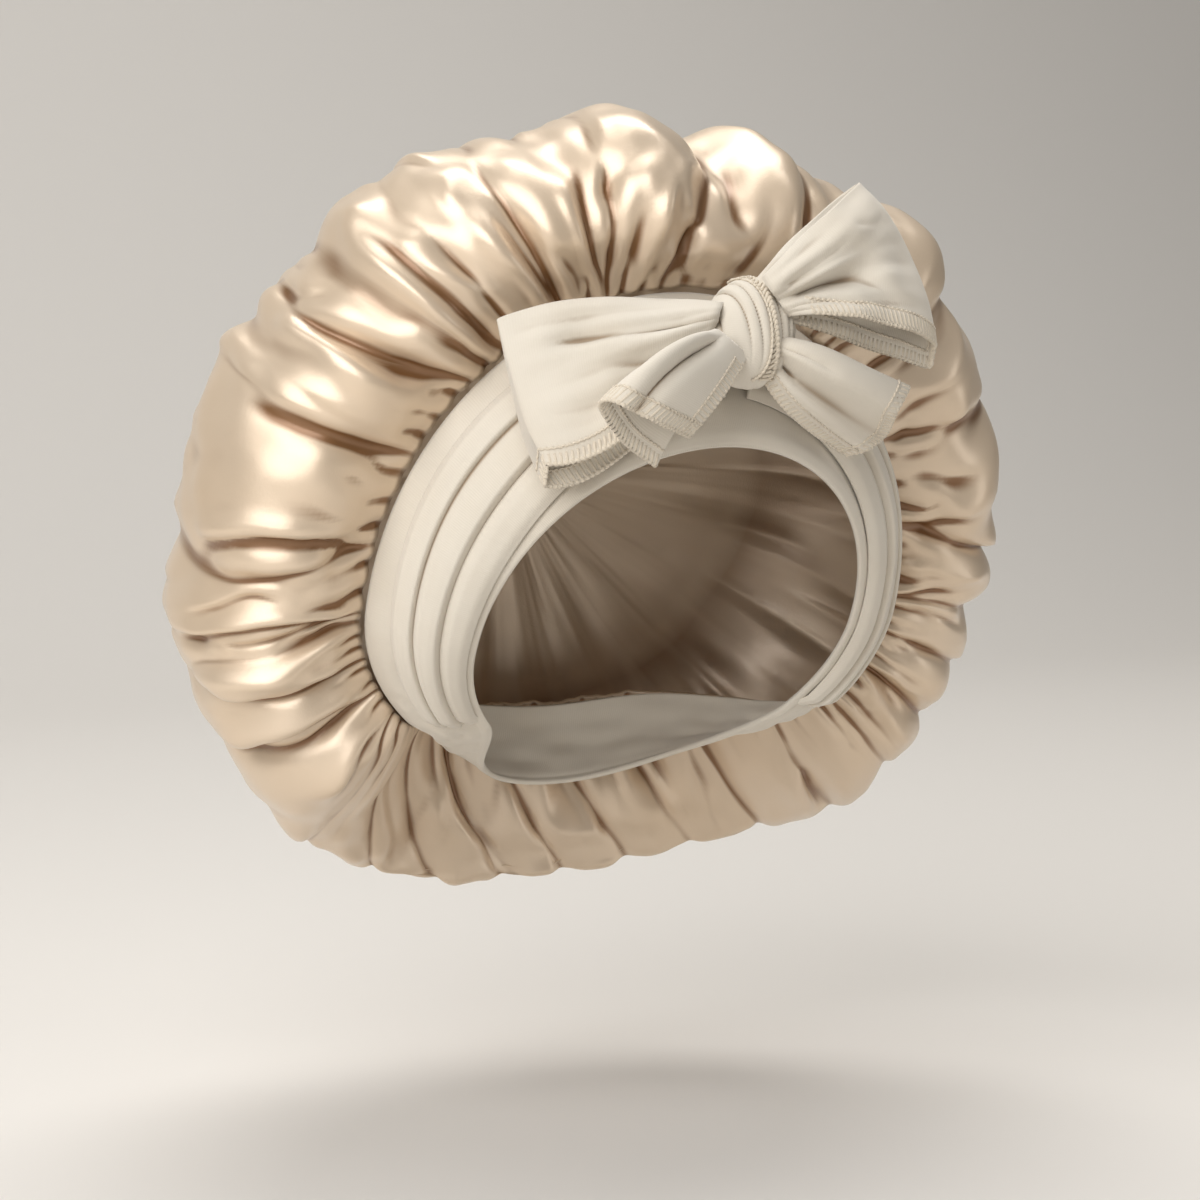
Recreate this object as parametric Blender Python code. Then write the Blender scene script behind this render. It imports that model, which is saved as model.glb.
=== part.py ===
"""Sleep bonnet: a gathered satin crown on a wide jersey band, with ties that wrap the band and end in a bow.

Right and left are the wearer's: the face looks along -Y, so the wearer's left is +X.

Every place is first given in the seam ring's own frame. u runs sideways, v runs up in the ring's plane and
w runs backwards through it, and the ring leans forwards at its top. The origin is the ring's centre.
"""

import math

import bmesh
import bpy
import numpy as np

# The seam ring, where the gathered crown meets the band, in metres and degrees
RING_LEAN_DEG = 19.0
SEAM_HALF_WIDTH = 0.112
SEAM_TOP = 0.127
SEAM_BOTTOM = 0.080
NAPE_SETBACK = 0.070
NAPE_START_DEG = 36.0

# The crown's rim, its widest line, and its depth behind the seam ring
RIM_HALF_WIDTH = 0.1735
RIM_TOP = 0.171
RIM_BOTTOM = 0.167
RIM_LIFT = 0.010
CROWN_DEPTH = 0.143
FRONT_SWELL = 0.008
CROWN_WALL = 0.0014
FOLD_HEIGHT = 0.0105
LOBE_STATIONS = (0.0, 0.2, 0.5, 0.8)
PUFF_FULLNESS = 2.2

# The band, from its edge on the face to the seam
FACE_HALF_WIDTH = 0.0795
FACE_TOP = 0.087
FACE_BOTTOM = 0.070
FACE_ADVANCE_TOP = 0.058
FACE_ADVANCE_BOTTOM = 0.0104
NAPE_DROP = 0.036
BAND_SWELL = 0.005
BAND_WALL = 0.002
BAND_COLUMNS = 56

# The ties wrapped over the band, from the pinch at the temple to the knot
WRAP_WALL = 0.0014
WRAP_PLEAT = 0.0035
WRAP_PINCH_DEG = 213.0
WRAP_COLUMNS = 22
WRAP_UNDER_KNOT = 0.35

# The knot
KNOT_DEG = 86.0
KNOT_ON_BAND = 0.47
KNOT_HALF_WIDTH = 0.0180
KNOT_HALF_HEIGHT = 0.0225
KNOT_HALF_DEPTH = 0.0155
KNOT_ROLL_DEG = 24.0
KNOT_RIDGES = 5
KNOT_RIDGE_SHARE = 0.05

# The bow
LOOP_REACH = 0.090
TAIL_REACH = 0.090
BOW_WALL = 0.0012
RIGHT_LOOP_OPENING = 0.010
LEFT_LOOP_OPENING = 0.014
LOOP_ROOT_OPENING = 0.006
BACK_LAYER_DROP = 0.008

# Clear gaps between neighbouring pieces
SEAM_GAP = 0.0006
LAYER_GAP = 0.0006
KNOT_GAP = 0.0004
KNOT_REST = 0.0009

# One row for each section of the crown, from the seam to the back: how far it still follows the seam and
# the rim, its depth as a share of the crown's depth, its share of the forward swell, how much of the seam's
# setback at the nape it keeps, how far a crease has swung from its angle at the seam to its angle at the
# rim, and its share of the fold height
SECTIONS = (
    # name, seam, rim, depth, swell, setback, swing, fold
    ("seam", 1.00, 0.00, 0.000, 0.00, 1.00, 0.00, 0.00),
    ("tight gathers", 0.88, 0.12, 0.000, 0.55, 1.00, 0.12, 0.30),
    ("front", 0.68, 0.32, 0.000, 1.00, 0.98, 0.32, 0.60),
    ("front swell", 0.40, 0.60, 0.000, 0.75, 0.92, 0.58, 0.85),
    ("shoulder", 0.17, 0.83, 0.045, 0.20, 0.78, 0.80, 1.00),
    ("rim front", 0.04, 0.96, 0.140, 0.00, 0.55, 0.94, 1.00),
    ("rim", 0.00, 1.00, 0.270, 0.00, 0.30, 1.00, 1.00),
    ("rim back", 0.00, 0.975, 0.450, 0.00, 0.12, 1.00, 0.80),
    ("back shoulder", 0.00, 0.885, 0.640, 0.00, 0.00, 1.00, 0.48),
    ("back slope", 0.00, 0.740, 0.800, 0.00, 0.00, 1.00, 0.22),
    ("back", 0.00, 0.520, 0.915, 0.00, 0.00, 1.00, 0.07),
    ("inner back", 0.00, 0.270, 0.980, 0.00, 0.00, 1.00, 0.00),
)

# One row for each crease of the crown, anticlockwise from the wearer's left as seen from the front: its
# angle at the seam and at the rim, how deep it is cut, and how high the puff after it stands, both as
# shares of the fold height
CREASES = (
    # seam_deg, rim_deg, depth, puff
    (13, 0, 0.55, 0.95),
    (30, 24, 0.40, 0.75),
    (44, 42, 0.40, 0.60),
    (58, 57, 0.40, 0.60),
    (69, 70, 0.45, 0.85),
    (94, 85, 0.60, 1.05),
    (105, 101, 0.30, 0.80),
    (114, 116, 0.45, 0.30),
    (123, 127, 0.20, 0.95),
    (135, 145, 0.50, 0.60),
    (151, 156, 0.40, 0.85),
    (168, 182, 0.40, 0.45),
    (181, 192, 0.35, 0.35),
    (195, 199, 0.75, 0.60),
    (205, 210, 0.35, 0.95),
    (213, 232, 0.35, 0.55),
    (224, 245, 0.35, 0.45),
    (233, 256, 0.35, 0.45),
    (246, 267, 0.35, 0.50),
    (259, 277, 0.35, 0.50),
    (273, 287, 0.35, 0.50),
    (287, 296, 0.35, 0.50),
    (301, 305, 0.35, 0.60),
    (314, 313, 0.45, 0.55),
    (326, 322, 0.35, 0.50),
    (338, 331, 0.40, 0.60),
    (348, 341, 0.40, 0.45),
    (358, 350, 0.35, 0.60),
)

# One row for each fold line of a wrapped tie, from the face outwards: its place across the band at the
# temple, over the brow and at the knot, 0 at the face and 1 at the seam, and its height
WRAP_FOLDS = (
    # name, temple, brow, knot, height
    ("face edge", 0.04, 0.06, 0.26, 0.00),
    ("rolled strip", 0.11, 0.14, 0.33, 0.55),
    ("deep crease", 0.19, 0.23, 0.40, 0.00),
    ("first pleat", 0.26, 0.35, 0.46, 1.00),
    ("first crease", 0.33, 0.44, 0.52, 0.20),
    ("second pleat", 0.40, 0.56, 0.58, 0.90),
    ("second crease", 0.47, 0.66, 0.64, 0.20),
    ("third pleat", 0.54, 0.76, 0.70, 0.70),
    ("outer edge", 0.61, 0.85, 0.76, 0.00),
)

# One row for each fold line of a loop or tail, running out from the knot: its place at the root, halfway
# and at the far end, sideways, up and back from the knot's centre, as shares of the reach
RIGHT_LOOP = (
    # name, root, middle, end
    ("top edge", (-0.13, 0.11, 0.02), (-0.56, 0.06, 0.22), (-1.00, -0.04, 0.29)),
    ("upper ridge", (-0.17, 0.10, -0.04), (-0.64, -0.01, 0.06), (-0.99, -0.15, 0.18)),
    ("valley", (-0.18, 0.06, -0.05), (-0.65, -0.14, 0.00), (-0.96, -0.29, 0.09)),
    ("lower ridge", (-0.19, 0.03, -0.05), (-0.63, -0.26, -0.11), (-0.94, -0.40, -0.02)),
    ("hem", (-0.18, -0.01, -0.06), (-0.58, -0.39, -0.18), (-0.89, -0.51, -0.14)),
)
LEFT_LOOP = (
    # name, root, middle, end
    ("top edge", (0.01, 0.22, 0.02), (0.27, 0.44, 0.11), (0.55, 0.56, 0.29)),
    ("upper ridge", (0.02, 0.19, -0.05), (0.32, 0.37, -0.01), (0.64, 0.47, 0.18)),
    ("valley", (0.06, 0.15, -0.05), (0.40, 0.27, 0.02), (0.74, 0.32, 0.11)),
    ("lower ridge", (0.08, 0.12, -0.07), (0.39, 0.20, -0.11), (0.81, 0.14, 0.00)),
    ("hem", (0.11, 0.09, -0.07), (0.40, 0.10, -0.16), (0.85, -0.04, -0.07)),
)
RIGHT_TAIL = (
    # name, root, middle, end
    ("side edge", (-0.09, -0.03, -0.18), (-0.28, -0.13, -0.38), (-0.44, -0.28, -0.45)),
    ("front", (-0.19, 0.04, -0.22), (-0.49, 0.00, -0.47), (-0.68, -0.16, -0.56)),
    ("upper front", (-0.25, 0.08, -0.20), (-0.59, 0.06, -0.42), (-0.81, -0.11, -0.49)),
    ("fold", (-0.27, 0.07, -0.19), (-0.61, -0.01, -0.36), (-0.83, -0.16, -0.41)),
    ("back", (-0.21, 0.02, -0.16), (-0.51, -0.12, -0.31), (-0.68, -0.33, -0.36)),
    ("tucked edge", (-0.13, -0.04, -0.16), (-0.38, -0.20, -0.31), (-0.52, -0.44, -0.36)),
)
LEFT_TAIL = (
    # name, root, middle, end
    ("side edge", (0.00, -0.09, -0.11), (0.12, -0.26, -0.19), (0.49, -0.50, -0.12)),
    ("flap", (0.01, -0.06, -0.16), (0.19, -0.22, -0.26), (0.55, -0.45, -0.18)),
    ("crease", (0.04, -0.04, -0.15), (0.25, -0.19, -0.22), (0.64, -0.40, -0.15)),
    ("roll front", (0.03, 0.01, -0.18), (0.24, -0.07, -0.31), (0.60, -0.25, -0.27)),
    ("roll top", (0.08, 0.03, -0.14), (0.29, 0.00, -0.25), (0.68, -0.17, -0.20)),
    ("tucked edge", (0.09, -0.03, -0.08), (0.33, -0.11, -0.15), (0.69, -0.28, -0.08)),
)

# Linear base colours and roughness of the two cloths
SATIN_COLOUR = (0.56, 0.43, 0.31, 1.0)
SATIN_ROUGHNESS = 0.32
JERSEY_COLOUR = (0.78, 0.72, 0.61, 1.0)
JERSEY_ROUGHNESS = 0.90


def clear_scene():
    """Removes whatever the scene holds."""
    for thing in list(bpy.data.objects):
        bpy.data.objects.remove(thing)


def cloth_material(name, colour, roughness, sheen):
    """A cloth finish with one colour."""
    material = bpy.data.materials.new(name)
    material.use_nodes = True
    shader = material.node_tree.nodes["Principled BSDF"]
    shader.inputs["Base Color"].default_value = colour
    shader.inputs["Roughness"].default_value = roughness
    shader.inputs["Metallic"].default_value = 0.0
    shader.inputs["Sheen Weight"].default_value = sheen
    material.diffuse_color = colour
    return material


def from_ring(places):
    """Turns (u, v, w) places of the ring frame into world places, by the ring's forward lean."""
    lean = math.radians(RING_LEAN_DEG)
    across = np.array([1.0, 0.0, 0.0])
    upward = np.array([0.0, -math.sin(lean), math.cos(lean)])
    backward = np.array([0.0, math.cos(lean), math.sin(lean)])
    return places @ np.stack([across, upward, backward])


def unit(vectors):
    """Vectors brought to length one."""
    return vectors / np.linalg.norm(vectors, axis=-1, keepdims=True)


def grid_normals(points):
    """Unit normals of a grid of points, from its differences along both directions."""
    along = np.gradient(points, axis=0)
    across = np.gradient(points, axis=1)
    return unit(np.cross(along, across))


def smooth_through(values, share):
    """A cubic through evenly spaced rows of values, read at shares from 0 to 1 of the whole run."""
    spans = len(values) - 1
    place = np.clip(np.asarray(share) * spans, 0, spans)
    first = np.minimum(place.astype(int), spans - 1)
    t = (place - first).reshape((-1,) + (1,) * (values.ndim - 1))
    slopes = np.gradient(values, axis=0)
    start, end = values[first], values[first + 1]
    start_slope, end_slope = slopes[first], slopes[first + 1]
    return (
        (2 * t**3 - 3 * t**2 + 1) * start
        + (t**3 - 2 * t**2 + t) * start_slope
        + (3 * t**2 - 2 * t**3) * end
        + (t**3 - t**2) * end_slope
    )


def ring_outline(degrees, half_width, top, bottom, lift=0.0):
    """(u, v) of an egg-shaped ring: one half width, and its own height above and below its widest line."""
    angle = np.radians(degrees)
    height = np.where(np.sin(angle) > 0, top, bottom)
    return np.stack([half_width * np.cos(angle), lift + height * np.sin(angle)], axis=-1)


def nape_share(degrees):
    """0 round the face, rising smoothly to 1 at the nape."""
    below = -np.sin(np.radians(degrees))
    start = math.sin(math.radians(NAPE_START_DEG))
    rise = np.clip((below - start) / (1 - start), 0, 1)
    return rise * rise * (3 - 2 * rise)


def seam_places(degrees):
    """The seam ring in the ring frame, set back at the nape to pass behind the neck."""
    outline = ring_outline(degrees, SEAM_HALF_WIDTH, SEAM_TOP, SEAM_BOTTOM)
    setback = NAPE_SETBACK * nape_share(degrees)
    return np.concatenate([outline, setback[..., None]], axis=-1)


def face_places(degrees):
    """The band's free edge in the ring frame: furthest forward over the brow, dropped low at the nape."""
    outline = ring_outline(degrees, FACE_HALF_WIDTH, FACE_TOP, FACE_BOTTOM)
    nape = nape_share(degrees)
    outline[..., 1] -= NAPE_DROP * nape
    raised = (1 + np.sin(np.radians(degrees))) / 2
    advance = FACE_ADVANCE_BOTTOM * (1 + nape) + (FACE_ADVANCE_TOP - FACE_ADVANCE_BOTTOM) * raised
    depth = NAPE_SETBACK * nape - advance
    return np.concatenate([outline, depth[..., None]], axis=-1)


def band_outward(degrees):
    """Unit direction that points away from the head, square to the band's slope."""
    angle = np.radians(degrees)
    slope = seam_places(degrees) - face_places(degrees)
    round_ring = np.stack([-np.sin(angle), np.cos(angle), np.zeros_like(angle)], axis=-1)
    return unit(np.cross(round_ring, slope))


def band_places(degrees, across, raised=0.0):
    """The band's middle surface, across from 0 at the face to 1 at the seam, lifted outwards by raised."""
    face, seam = face_places(degrees), seam_places(degrees)
    share = np.asarray(across)[..., None]
    swell = BAND_SWELL * np.sin(np.pi * share)
    lift = np.asarray(raised)[..., None] + swell
    return face * (1 - share) + seam * share + lift * band_outward(degrees)


def crown_grid():
    """The crown's outer surface: the section table carried round the ring, with a puff between creases."""
    creases = np.array(CREASES, float)
    after = np.roll(creases, -1, axis=0)
    after[-1, :2] += 360
    share = np.array(LOBE_STATIONS)
    arch = 1 - np.abs(2 * share - 1) ** PUFF_FULLNESS
    cut = creases[:, 2:3] * (1 - share) + after[:, 2:3] * share
    folds = (creases[:, 3:4] * arch - cut * (1 - arch)).ravel()
    rows = []
    for _, seam_share, rim_share, depth, swell, setback, swing, fold in SECTIONS:
        here = creases[:, 0] * (1 - swing) + creases[:, 1] * swing
        beyond = after[:, 0] * (1 - swing) + after[:, 1] * swing
        degrees = (here[:, None] * (1 - share) + beyond[:, None] * share).ravel()
        seam = seam_places(degrees)
        nape = nape_share(degrees)
        seam[:, :2] += (SEAM_GAP + BAND_WALL / 2) * unit(seam[:, :2])
        seam[:, 2] += (SEAM_GAP + BAND_WALL / 2) * nape
        rim = ring_outline(degrees, RIM_HALF_WIDTH, RIM_TOP, RIM_BOTTOM, RIM_LIFT)
        row = np.empty_like(seam)
        row[:, :2] = seam[:, :2] * seam_share + rim * rim_share
        forward = FRONT_SWELL * swell * (1 - 2 * nape)
        row[:, 2] = seam[:, 2] * setback + depth * CROWN_DEPTH - forward
        rows.append((row, fold * FOLD_HEIGHT * folds))
    return displaced_sections(rows)


def displaced_sections(rows):
    """Moves each section's points square to the section curve, in the plane that holds the ring's axis."""
    places = np.stack([row for row, _ in rows])
    heights = np.stack([height for _, height in rows])
    tangent = np.gradient(places, axis=0)
    radial = unit(places[:, :, :2])
    outward_run = (tangent[:, :, :2] * radial).sum(axis=-1)
    normal_out = tangent[:, :, 2]
    length = np.hypot(outward_run, normal_out)
    shift = np.empty_like(places)
    shift[:, :, :2] = radial * (normal_out / length)[..., None]
    shift[:, :, 2] = -outward_run / length
    return places + shift * heights[..., None]


def sheet_mesh(name, points, wraps=False, start_tip=None, end_tip=None):
    """A mesh of four-sided faces on a grid of points, joined round its columns and closed by its tips."""
    rows, columns = points.shape[:2]
    vertices = points.reshape(-1, 3).tolist()
    row, column = np.meshgrid(
        np.arange(rows - 1), np.arange(columns if wraps else columns - 1), indexing="ij"
    )
    beside = (column + 1) % columns
    corners = (
        row * columns + column,
        row * columns + beside,
        (row + 1) * columns + beside,
        (row + 1) * columns + column,
    )
    faces = np.stack(corners, axis=-1).reshape(-1, 4).tolist()
    for tip, first in ((start_tip, 0), (end_tip, (rows - 1) * columns)):
        if tip is not None:
            vertices.append(tip.tolist())
            last = len(vertices) - 1
            faces += [(first + k, first + (k + 1) % columns, last) for k in range(columns)]
    mesh = bpy.data.meshes.new(name)
    mesh.from_pydata(vertices, [], faces)
    face_outwards(mesh)
    mesh.shade_smooth()
    return mesh


def face_outwards(mesh):
    """Turns every face of a mesh to point away from what it encloses."""
    shape = bmesh.new()
    shape.from_mesh(mesh)
    bmesh.ops.recalc_face_normals(shape, faces=shape.faces)
    shape.to_mesh(mesh)
    shape.free()


def add_piece(name, mesh, material, wall=None, offset=0.0):
    """One named piece, with its wall given by a Solidify modifier."""
    piece = bpy.data.objects.new(name, mesh)
    mesh.materials.append(material)
    bpy.context.scene.collection.objects.link(piece)
    if wall is not None:
        solidify = piece.modifiers.new("Wall", "SOLIDIFY")
        solidify.thickness = wall
        solidify.offset = offset
        solidify.use_rim = True
    return piece


def build_crown(satin):
    """The gathered crown: one thin wall of satin, open at the seam ring."""
    back = from_ring(np.array([0.0, RIM_LIFT, CROWN_DEPTH]))
    mesh = sheet_mesh("crown", from_ring(crown_grid()), wraps=True, end_tip=back)
    return add_piece("crown", mesh, satin, CROWN_WALL, -1.0)


def build_band(jersey):
    """The wide band, a flared ring from the face to the seam."""
    degrees = np.arange(BAND_COLUMNS) * 360 / BAND_COLUMNS
    across = np.array([0.0, 0.2, 0.45, 0.75, 1.0])
    points = [band_places(degrees, np.full(BAND_COLUMNS, share)) for share in across]
    mesh = sheet_mesh("band", from_ring(np.stack(points)), wraps=True)
    return add_piece("band", mesh, jersey, BAND_WALL)


def wrap_stack():
    """How far a wrapped tie's middle surface lies above the band's."""
    return BAND_WALL / 2 + LAYER_GAP + WRAP_WALL / 2


def wrap_grid(mirrored):
    """A pleated tie over the band: each fold line goes from the temple over the brow to the knot."""
    folds = np.array([row[1:] for row in WRAP_FOLDS])
    stations = folds[:, :3].T
    along = np.linspace(0, 1, WRAP_COLUMNS)
    across = smooth_through(stations, along)
    tucked = WRAP_UNDER_KNOT * math.degrees(KNOT_HALF_WIDTH / SEAM_TOP)
    start, end = WRAP_PINCH_DEG, KNOT_DEG + tucked
    if mirrored:
        start, end = 180 - WRAP_PINCH_DEG, KNOT_DEG - tucked
    degrees = start + (end - start) * along
    raised = wrap_stack() + WRAP_PLEAT * np.outer(np.ones(WRAP_COLUMNS), folds[:, 3])
    wide = np.repeat(degrees[:, None], len(folds), axis=1)
    return band_places(wide, across, raised)


def build_wrap(name, jersey, mirrored):
    """One tie where it wraps the band, on the wearer's right, or mirrored on the left."""
    points = from_ring(wrap_grid(mirrored))
    if mirrored:
        points = points[::-1]
    mesh = sheet_mesh(name, points)
    return add_piece(name, mesh, jersey, WRAP_WALL)


def knot_centre():
    """The knot's centre, seated on the wrapped ties, in the ring frame."""
    above = wrap_stack() + WRAP_WALL / 2 + WRAP_PLEAT / 2 + KNOT_REST + KNOT_HALF_DEPTH
    return band_places(np.array(KNOT_DEG), np.array(KNOT_ON_BAND), np.array(above))


def knot_axes():
    """The knot's own directions in the ring frame: across, up the band's slope, and out from the head."""
    here = np.array(KNOT_DEG)
    out = band_outward(here)
    up = unit(seam_places(here) - face_places(here))
    across = np.cross(up, out)
    roll = math.radians(KNOT_ROLL_DEG)
    turned = across * math.cos(roll) + up * math.sin(roll)
    return np.stack([turned, np.cross(out, turned), out])


def knot_mesh(name, grow, ridges):
    """An egg-shaped knot with rounded ridges side by side, lying on the wrapped ties."""
    around = np.linspace(0, 2 * np.pi, 24, endpoint=False)
    down = np.linspace(0, np.pi, 13)[1:-1]
    theta, phi = np.meshgrid(down, around, indexing="ij")
    swell = 1 + ridges * (np.cos(2 * KNOT_RIDGES * theta) - 1) / 2
    body = np.stack(
        [
            (KNOT_HALF_WIDTH + grow) * np.sin(theta) * np.cos(phi) * swell,
            (KNOT_HALF_HEIGHT + grow) * np.cos(theta),
            (KNOT_HALF_DEPTH + grow) * np.sin(theta) * np.sin(phi) * swell,
        ],
        axis=-1,
    )
    tips = np.array([[0.0, 1.0, 0.0], [0.0, -1.0, 0.0]]) * (KNOT_HALF_HEIGHT + grow)
    body = from_ring(body @ knot_axes() + knot_centre())
    top, bottom = from_ring(tips @ knot_axes() + knot_centre())
    return sheet_mesh(name, body, wraps=True, start_tip=top, end_tip=bottom)


def build_knot(jersey):
    """The knot that holds the bow."""
    return add_piece("knot", knot_mesh("knot", 0.0, KNOT_RIDGE_SHARE), jersey)


def knot_seat(jersey):
    """A cutter of the knot's size plus its gap, which shapes the roots of the loops and tails."""
    seat = add_piece("knot_seat", knot_mesh("knot_seat", KNOT_GAP, 0.0), jersey)
    seat.hide_render = True
    seat.display_type = "WIRE"
    return seat


def fold_sheet(table, reach, along, across):
    """A sheet through a table of fold lines, smooth along each line and from line to line."""
    lines = np.array([row[1:] for row in table]) * reach
    a = np.asarray(along)[:, None, None]
    root, middle, end = lines[:, 0], lines[:, 1], lines[:, 2]
    stations = (1 - a) * (1 - 2 * a) * root + 4 * a * (1 - a) * middle + a * (2 * a - 1) * end
    return smooth_through(stations.transpose(1, 0, 2), across).transpose(1, 0, 2) + knot_centre()


def loop_grid(table, opening):
    """A flattened loop: the front layer runs out to the far fold, and the back layer returns behind it."""
    out = np.array([0.0, 0.15, 0.3, 0.48, 0.66, 0.82, 0.93, 0.98])
    across = np.linspace(0, 1, 9)
    along = np.concatenate([out, [1.0], out[::-1]])
    side = np.concatenate([np.ones(len(out)), [0.0], -np.ones(len(out))])
    half = (LOOP_ROOT_OPENING + (opening - LOOP_ROOT_OPENING) * np.minimum(along / 0.5, 1)) / 2
    half = half * np.sqrt(np.clip(1 - (np.clip(along - 0.5, 0, 0.5) / 0.5) ** 2, 0, 1))
    sheet = fold_sheet(table, LOOP_REACH, along, across)
    normal = unit(grid_normals(sheet[:len(out)]).mean(axis=(0, 1)))
    normal = normal * -np.sign(normal[2])
    points = sheet + (side * half)[:, None, None] * normal
    drop = BACK_LAYER_DROP * np.outer((side < 0) * along, across)
    points[:, :, 1] -= drop
    return points


def build_loop(name, jersey, table, opening, seat):
    """One loop of the bow."""
    mesh = sheet_mesh(name, from_ring(loop_grid(table, opening)))
    piece = add_piece(name, mesh, jersey, BOW_WALL)
    return seated(piece, seat)


def build_tail(name, jersey, table, seat):
    """One hanging end of the bow, rolled along its length."""
    along = np.linspace(0, 1, 9)
    across = np.linspace(0, 1, 16)
    mesh = sheet_mesh(name, from_ring(fold_sheet(table, TAIL_REACH, along, across)))
    piece = add_piece(name, mesh, jersey, BOW_WALL)
    return seated(piece, seat)


def seated(piece, seat):
    """Cuts the piece back to the knot's surface, with the gap that the seat holds."""
    cut = piece.modifiers.new("Knot seat", "BOOLEAN")
    cut.operation = "DIFFERENCE"
    cut.object = seat
    return piece


def build_bonnet():
    """Builds every piece of the bonnet."""
    satin = cloth_material("satin", SATIN_COLOUR, SATIN_ROUGHNESS, 0.2)
    jersey = cloth_material("jersey", JERSEY_COLOUR, JERSEY_ROUGHNESS, 0.3)
    build_crown(satin)
    build_band(jersey)
    build_wrap("tie_wrap_right", jersey, mirrored=False)
    build_wrap("tie_wrap_left", jersey, mirrored=True)
    build_knot(jersey)
    seat = knot_seat(jersey)
    build_loop("bow_loop_right", jersey, RIGHT_LOOP, RIGHT_LOOP_OPENING, seat)
    build_loop("bow_loop_left", jersey, LEFT_LOOP, LEFT_LOOP_OPENING, seat)
    build_tail("bow_tail_right", jersey, RIGHT_TAIL, seat)
    build_tail("bow_tail_left", jersey, LEFT_TAIL, seat)


clear_scene()
build_bonnet()
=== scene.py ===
# %% [markdown]
# # A satin sleep bonnet, built up from numpy surfaces
#
# A sleep bonnet is a round bag of slippery satin, gathered all round onto a wide band of stretch jersey.
# Two jersey ties wrap the band, cross over the brow and end in a bow. This lesson builds each cloth piece
# as a function of two parameters, worked out for a whole grid at once, and then gives it a finish made of
# shader nodes. The first cell loads the plain solids, which fix where every piece has to be.

import math

import bpy
import numpy as np
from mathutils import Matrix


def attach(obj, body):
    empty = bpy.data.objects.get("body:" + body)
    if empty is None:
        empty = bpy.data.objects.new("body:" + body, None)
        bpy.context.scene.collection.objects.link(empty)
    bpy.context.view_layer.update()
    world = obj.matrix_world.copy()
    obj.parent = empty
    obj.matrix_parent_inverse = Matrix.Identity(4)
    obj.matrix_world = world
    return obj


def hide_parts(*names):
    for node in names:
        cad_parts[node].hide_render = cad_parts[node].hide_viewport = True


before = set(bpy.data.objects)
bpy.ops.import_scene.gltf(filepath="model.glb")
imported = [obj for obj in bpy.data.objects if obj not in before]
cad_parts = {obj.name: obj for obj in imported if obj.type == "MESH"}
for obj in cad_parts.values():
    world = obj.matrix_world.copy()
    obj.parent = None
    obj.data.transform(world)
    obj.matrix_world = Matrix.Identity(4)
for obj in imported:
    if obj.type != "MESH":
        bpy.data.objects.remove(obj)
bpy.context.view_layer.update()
print("solids:", sorted(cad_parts))

# %% [markdown]
# ## The ring frame
#
# The crown meets the band along a ring that leans forwards at its top. It is easiest to describe every
# piece from that ring: u runs sideways, v runs up in the ring's plane and w runs backwards through it.
# One matrix product then turns a whole grid of (u, v, w) places into world places.

# %% The ring frame and a few helpers
RING_LEAN = math.radians(19.0)
RING_AXES = np.array(
    [
        [1.0, 0.0, 0.0],
        [0.0, -math.sin(RING_LEAN), math.cos(RING_LEAN)],
        [0.0, math.cos(RING_LEAN), math.sin(RING_LEAN)],
    ]
)
MM = 0.001


def from_ring(places):
    """World places: each ring place times the three ring axes, added up."""
    return places @ RING_AXES


def unit(vectors):
    """Vectors divided by their own length."""
    return vectors / np.maximum(np.linalg.norm(vectors, axis=-1, keepdims=True), 1e-12)


def ease(values, low=0.0, high=1.0):
    """Smooth step: 0 below low, 1 above high, and 3t^2 - 2t^3 between them."""
    t = np.clip((values - low) / (high - low), 0, 1)
    return t * t * (3 - 2 * t)


def smooth_through(rows, share):
    """Cubic Hermite curve through evenly spaced rows of values, read at shares from 0 to 1."""
    spans = len(rows) - 1
    place = np.clip(np.asarray(share, float) * spans, 0, spans)
    first = np.minimum(place.astype(int), spans - 1)
    t = (place - first).reshape((-1,) + (1,) * (rows.ndim - 1))
    slopes = np.gradient(rows, axis=0)
    return (
        (2 * t**3 - 3 * t**2 + 1) * rows[first]
        + (t**3 - 2 * t**2 + t) * slopes[first]
        + (3 * t**2 - 2 * t**3) * rows[first + 1]
        + (t**3 - t**2) * slopes[first + 1]
    )


def grid_normals(points, joined=False):
    """Unit normals of a grid: the cross product of its differences along rows and along columns."""
    if joined:
        points = np.concatenate([points[:, -1:], points, points[:, :1]], axis=1)
    normals = unit(np.cross(np.gradient(points, axis=0), np.gradient(points, axis=1)))
    return normals[:, 1:-1] if joined else normals


def ripples(x, y, seed, longest, shortest, count=9):
    """Soft unevenness between -1 and 1: a sum of sine waves with seeded lengths, directions and phases."""
    draw = np.random.default_rng(seed)
    total = np.zeros(np.broadcast(x, y).shape)
    for _ in range(count):
        turn = draw.uniform(0, 2 * math.pi)
        length = math.exp(draw.uniform(math.log(shortest), math.log(longest)))
        wave = 2 * math.pi / length
        total += np.sin(wave * (x * math.cos(turn) + y * math.sin(turn)) + draw.uniform(0, 2 * math.pi))
    return total / count**0.5 / 1.4


# %% [markdown]
# ## From a grid of points to a mesh
#
# A cloth piece is a grid, so its mesh always has the same faces: each square of four neighbours. The helper
# writes them with numpy, joins the last column to the first for a ring, and closes a dome with a pole.
# It also lays a UV map in metres, so that a knit or weave keeps its real size on the cloth.

# %% Mesh helpers
# reach and full depth of the crease measure that sets the painted shade in the colour
HOLLOW_REACH = 0.0036
HOLLOW_FULL = 0.0013


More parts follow.
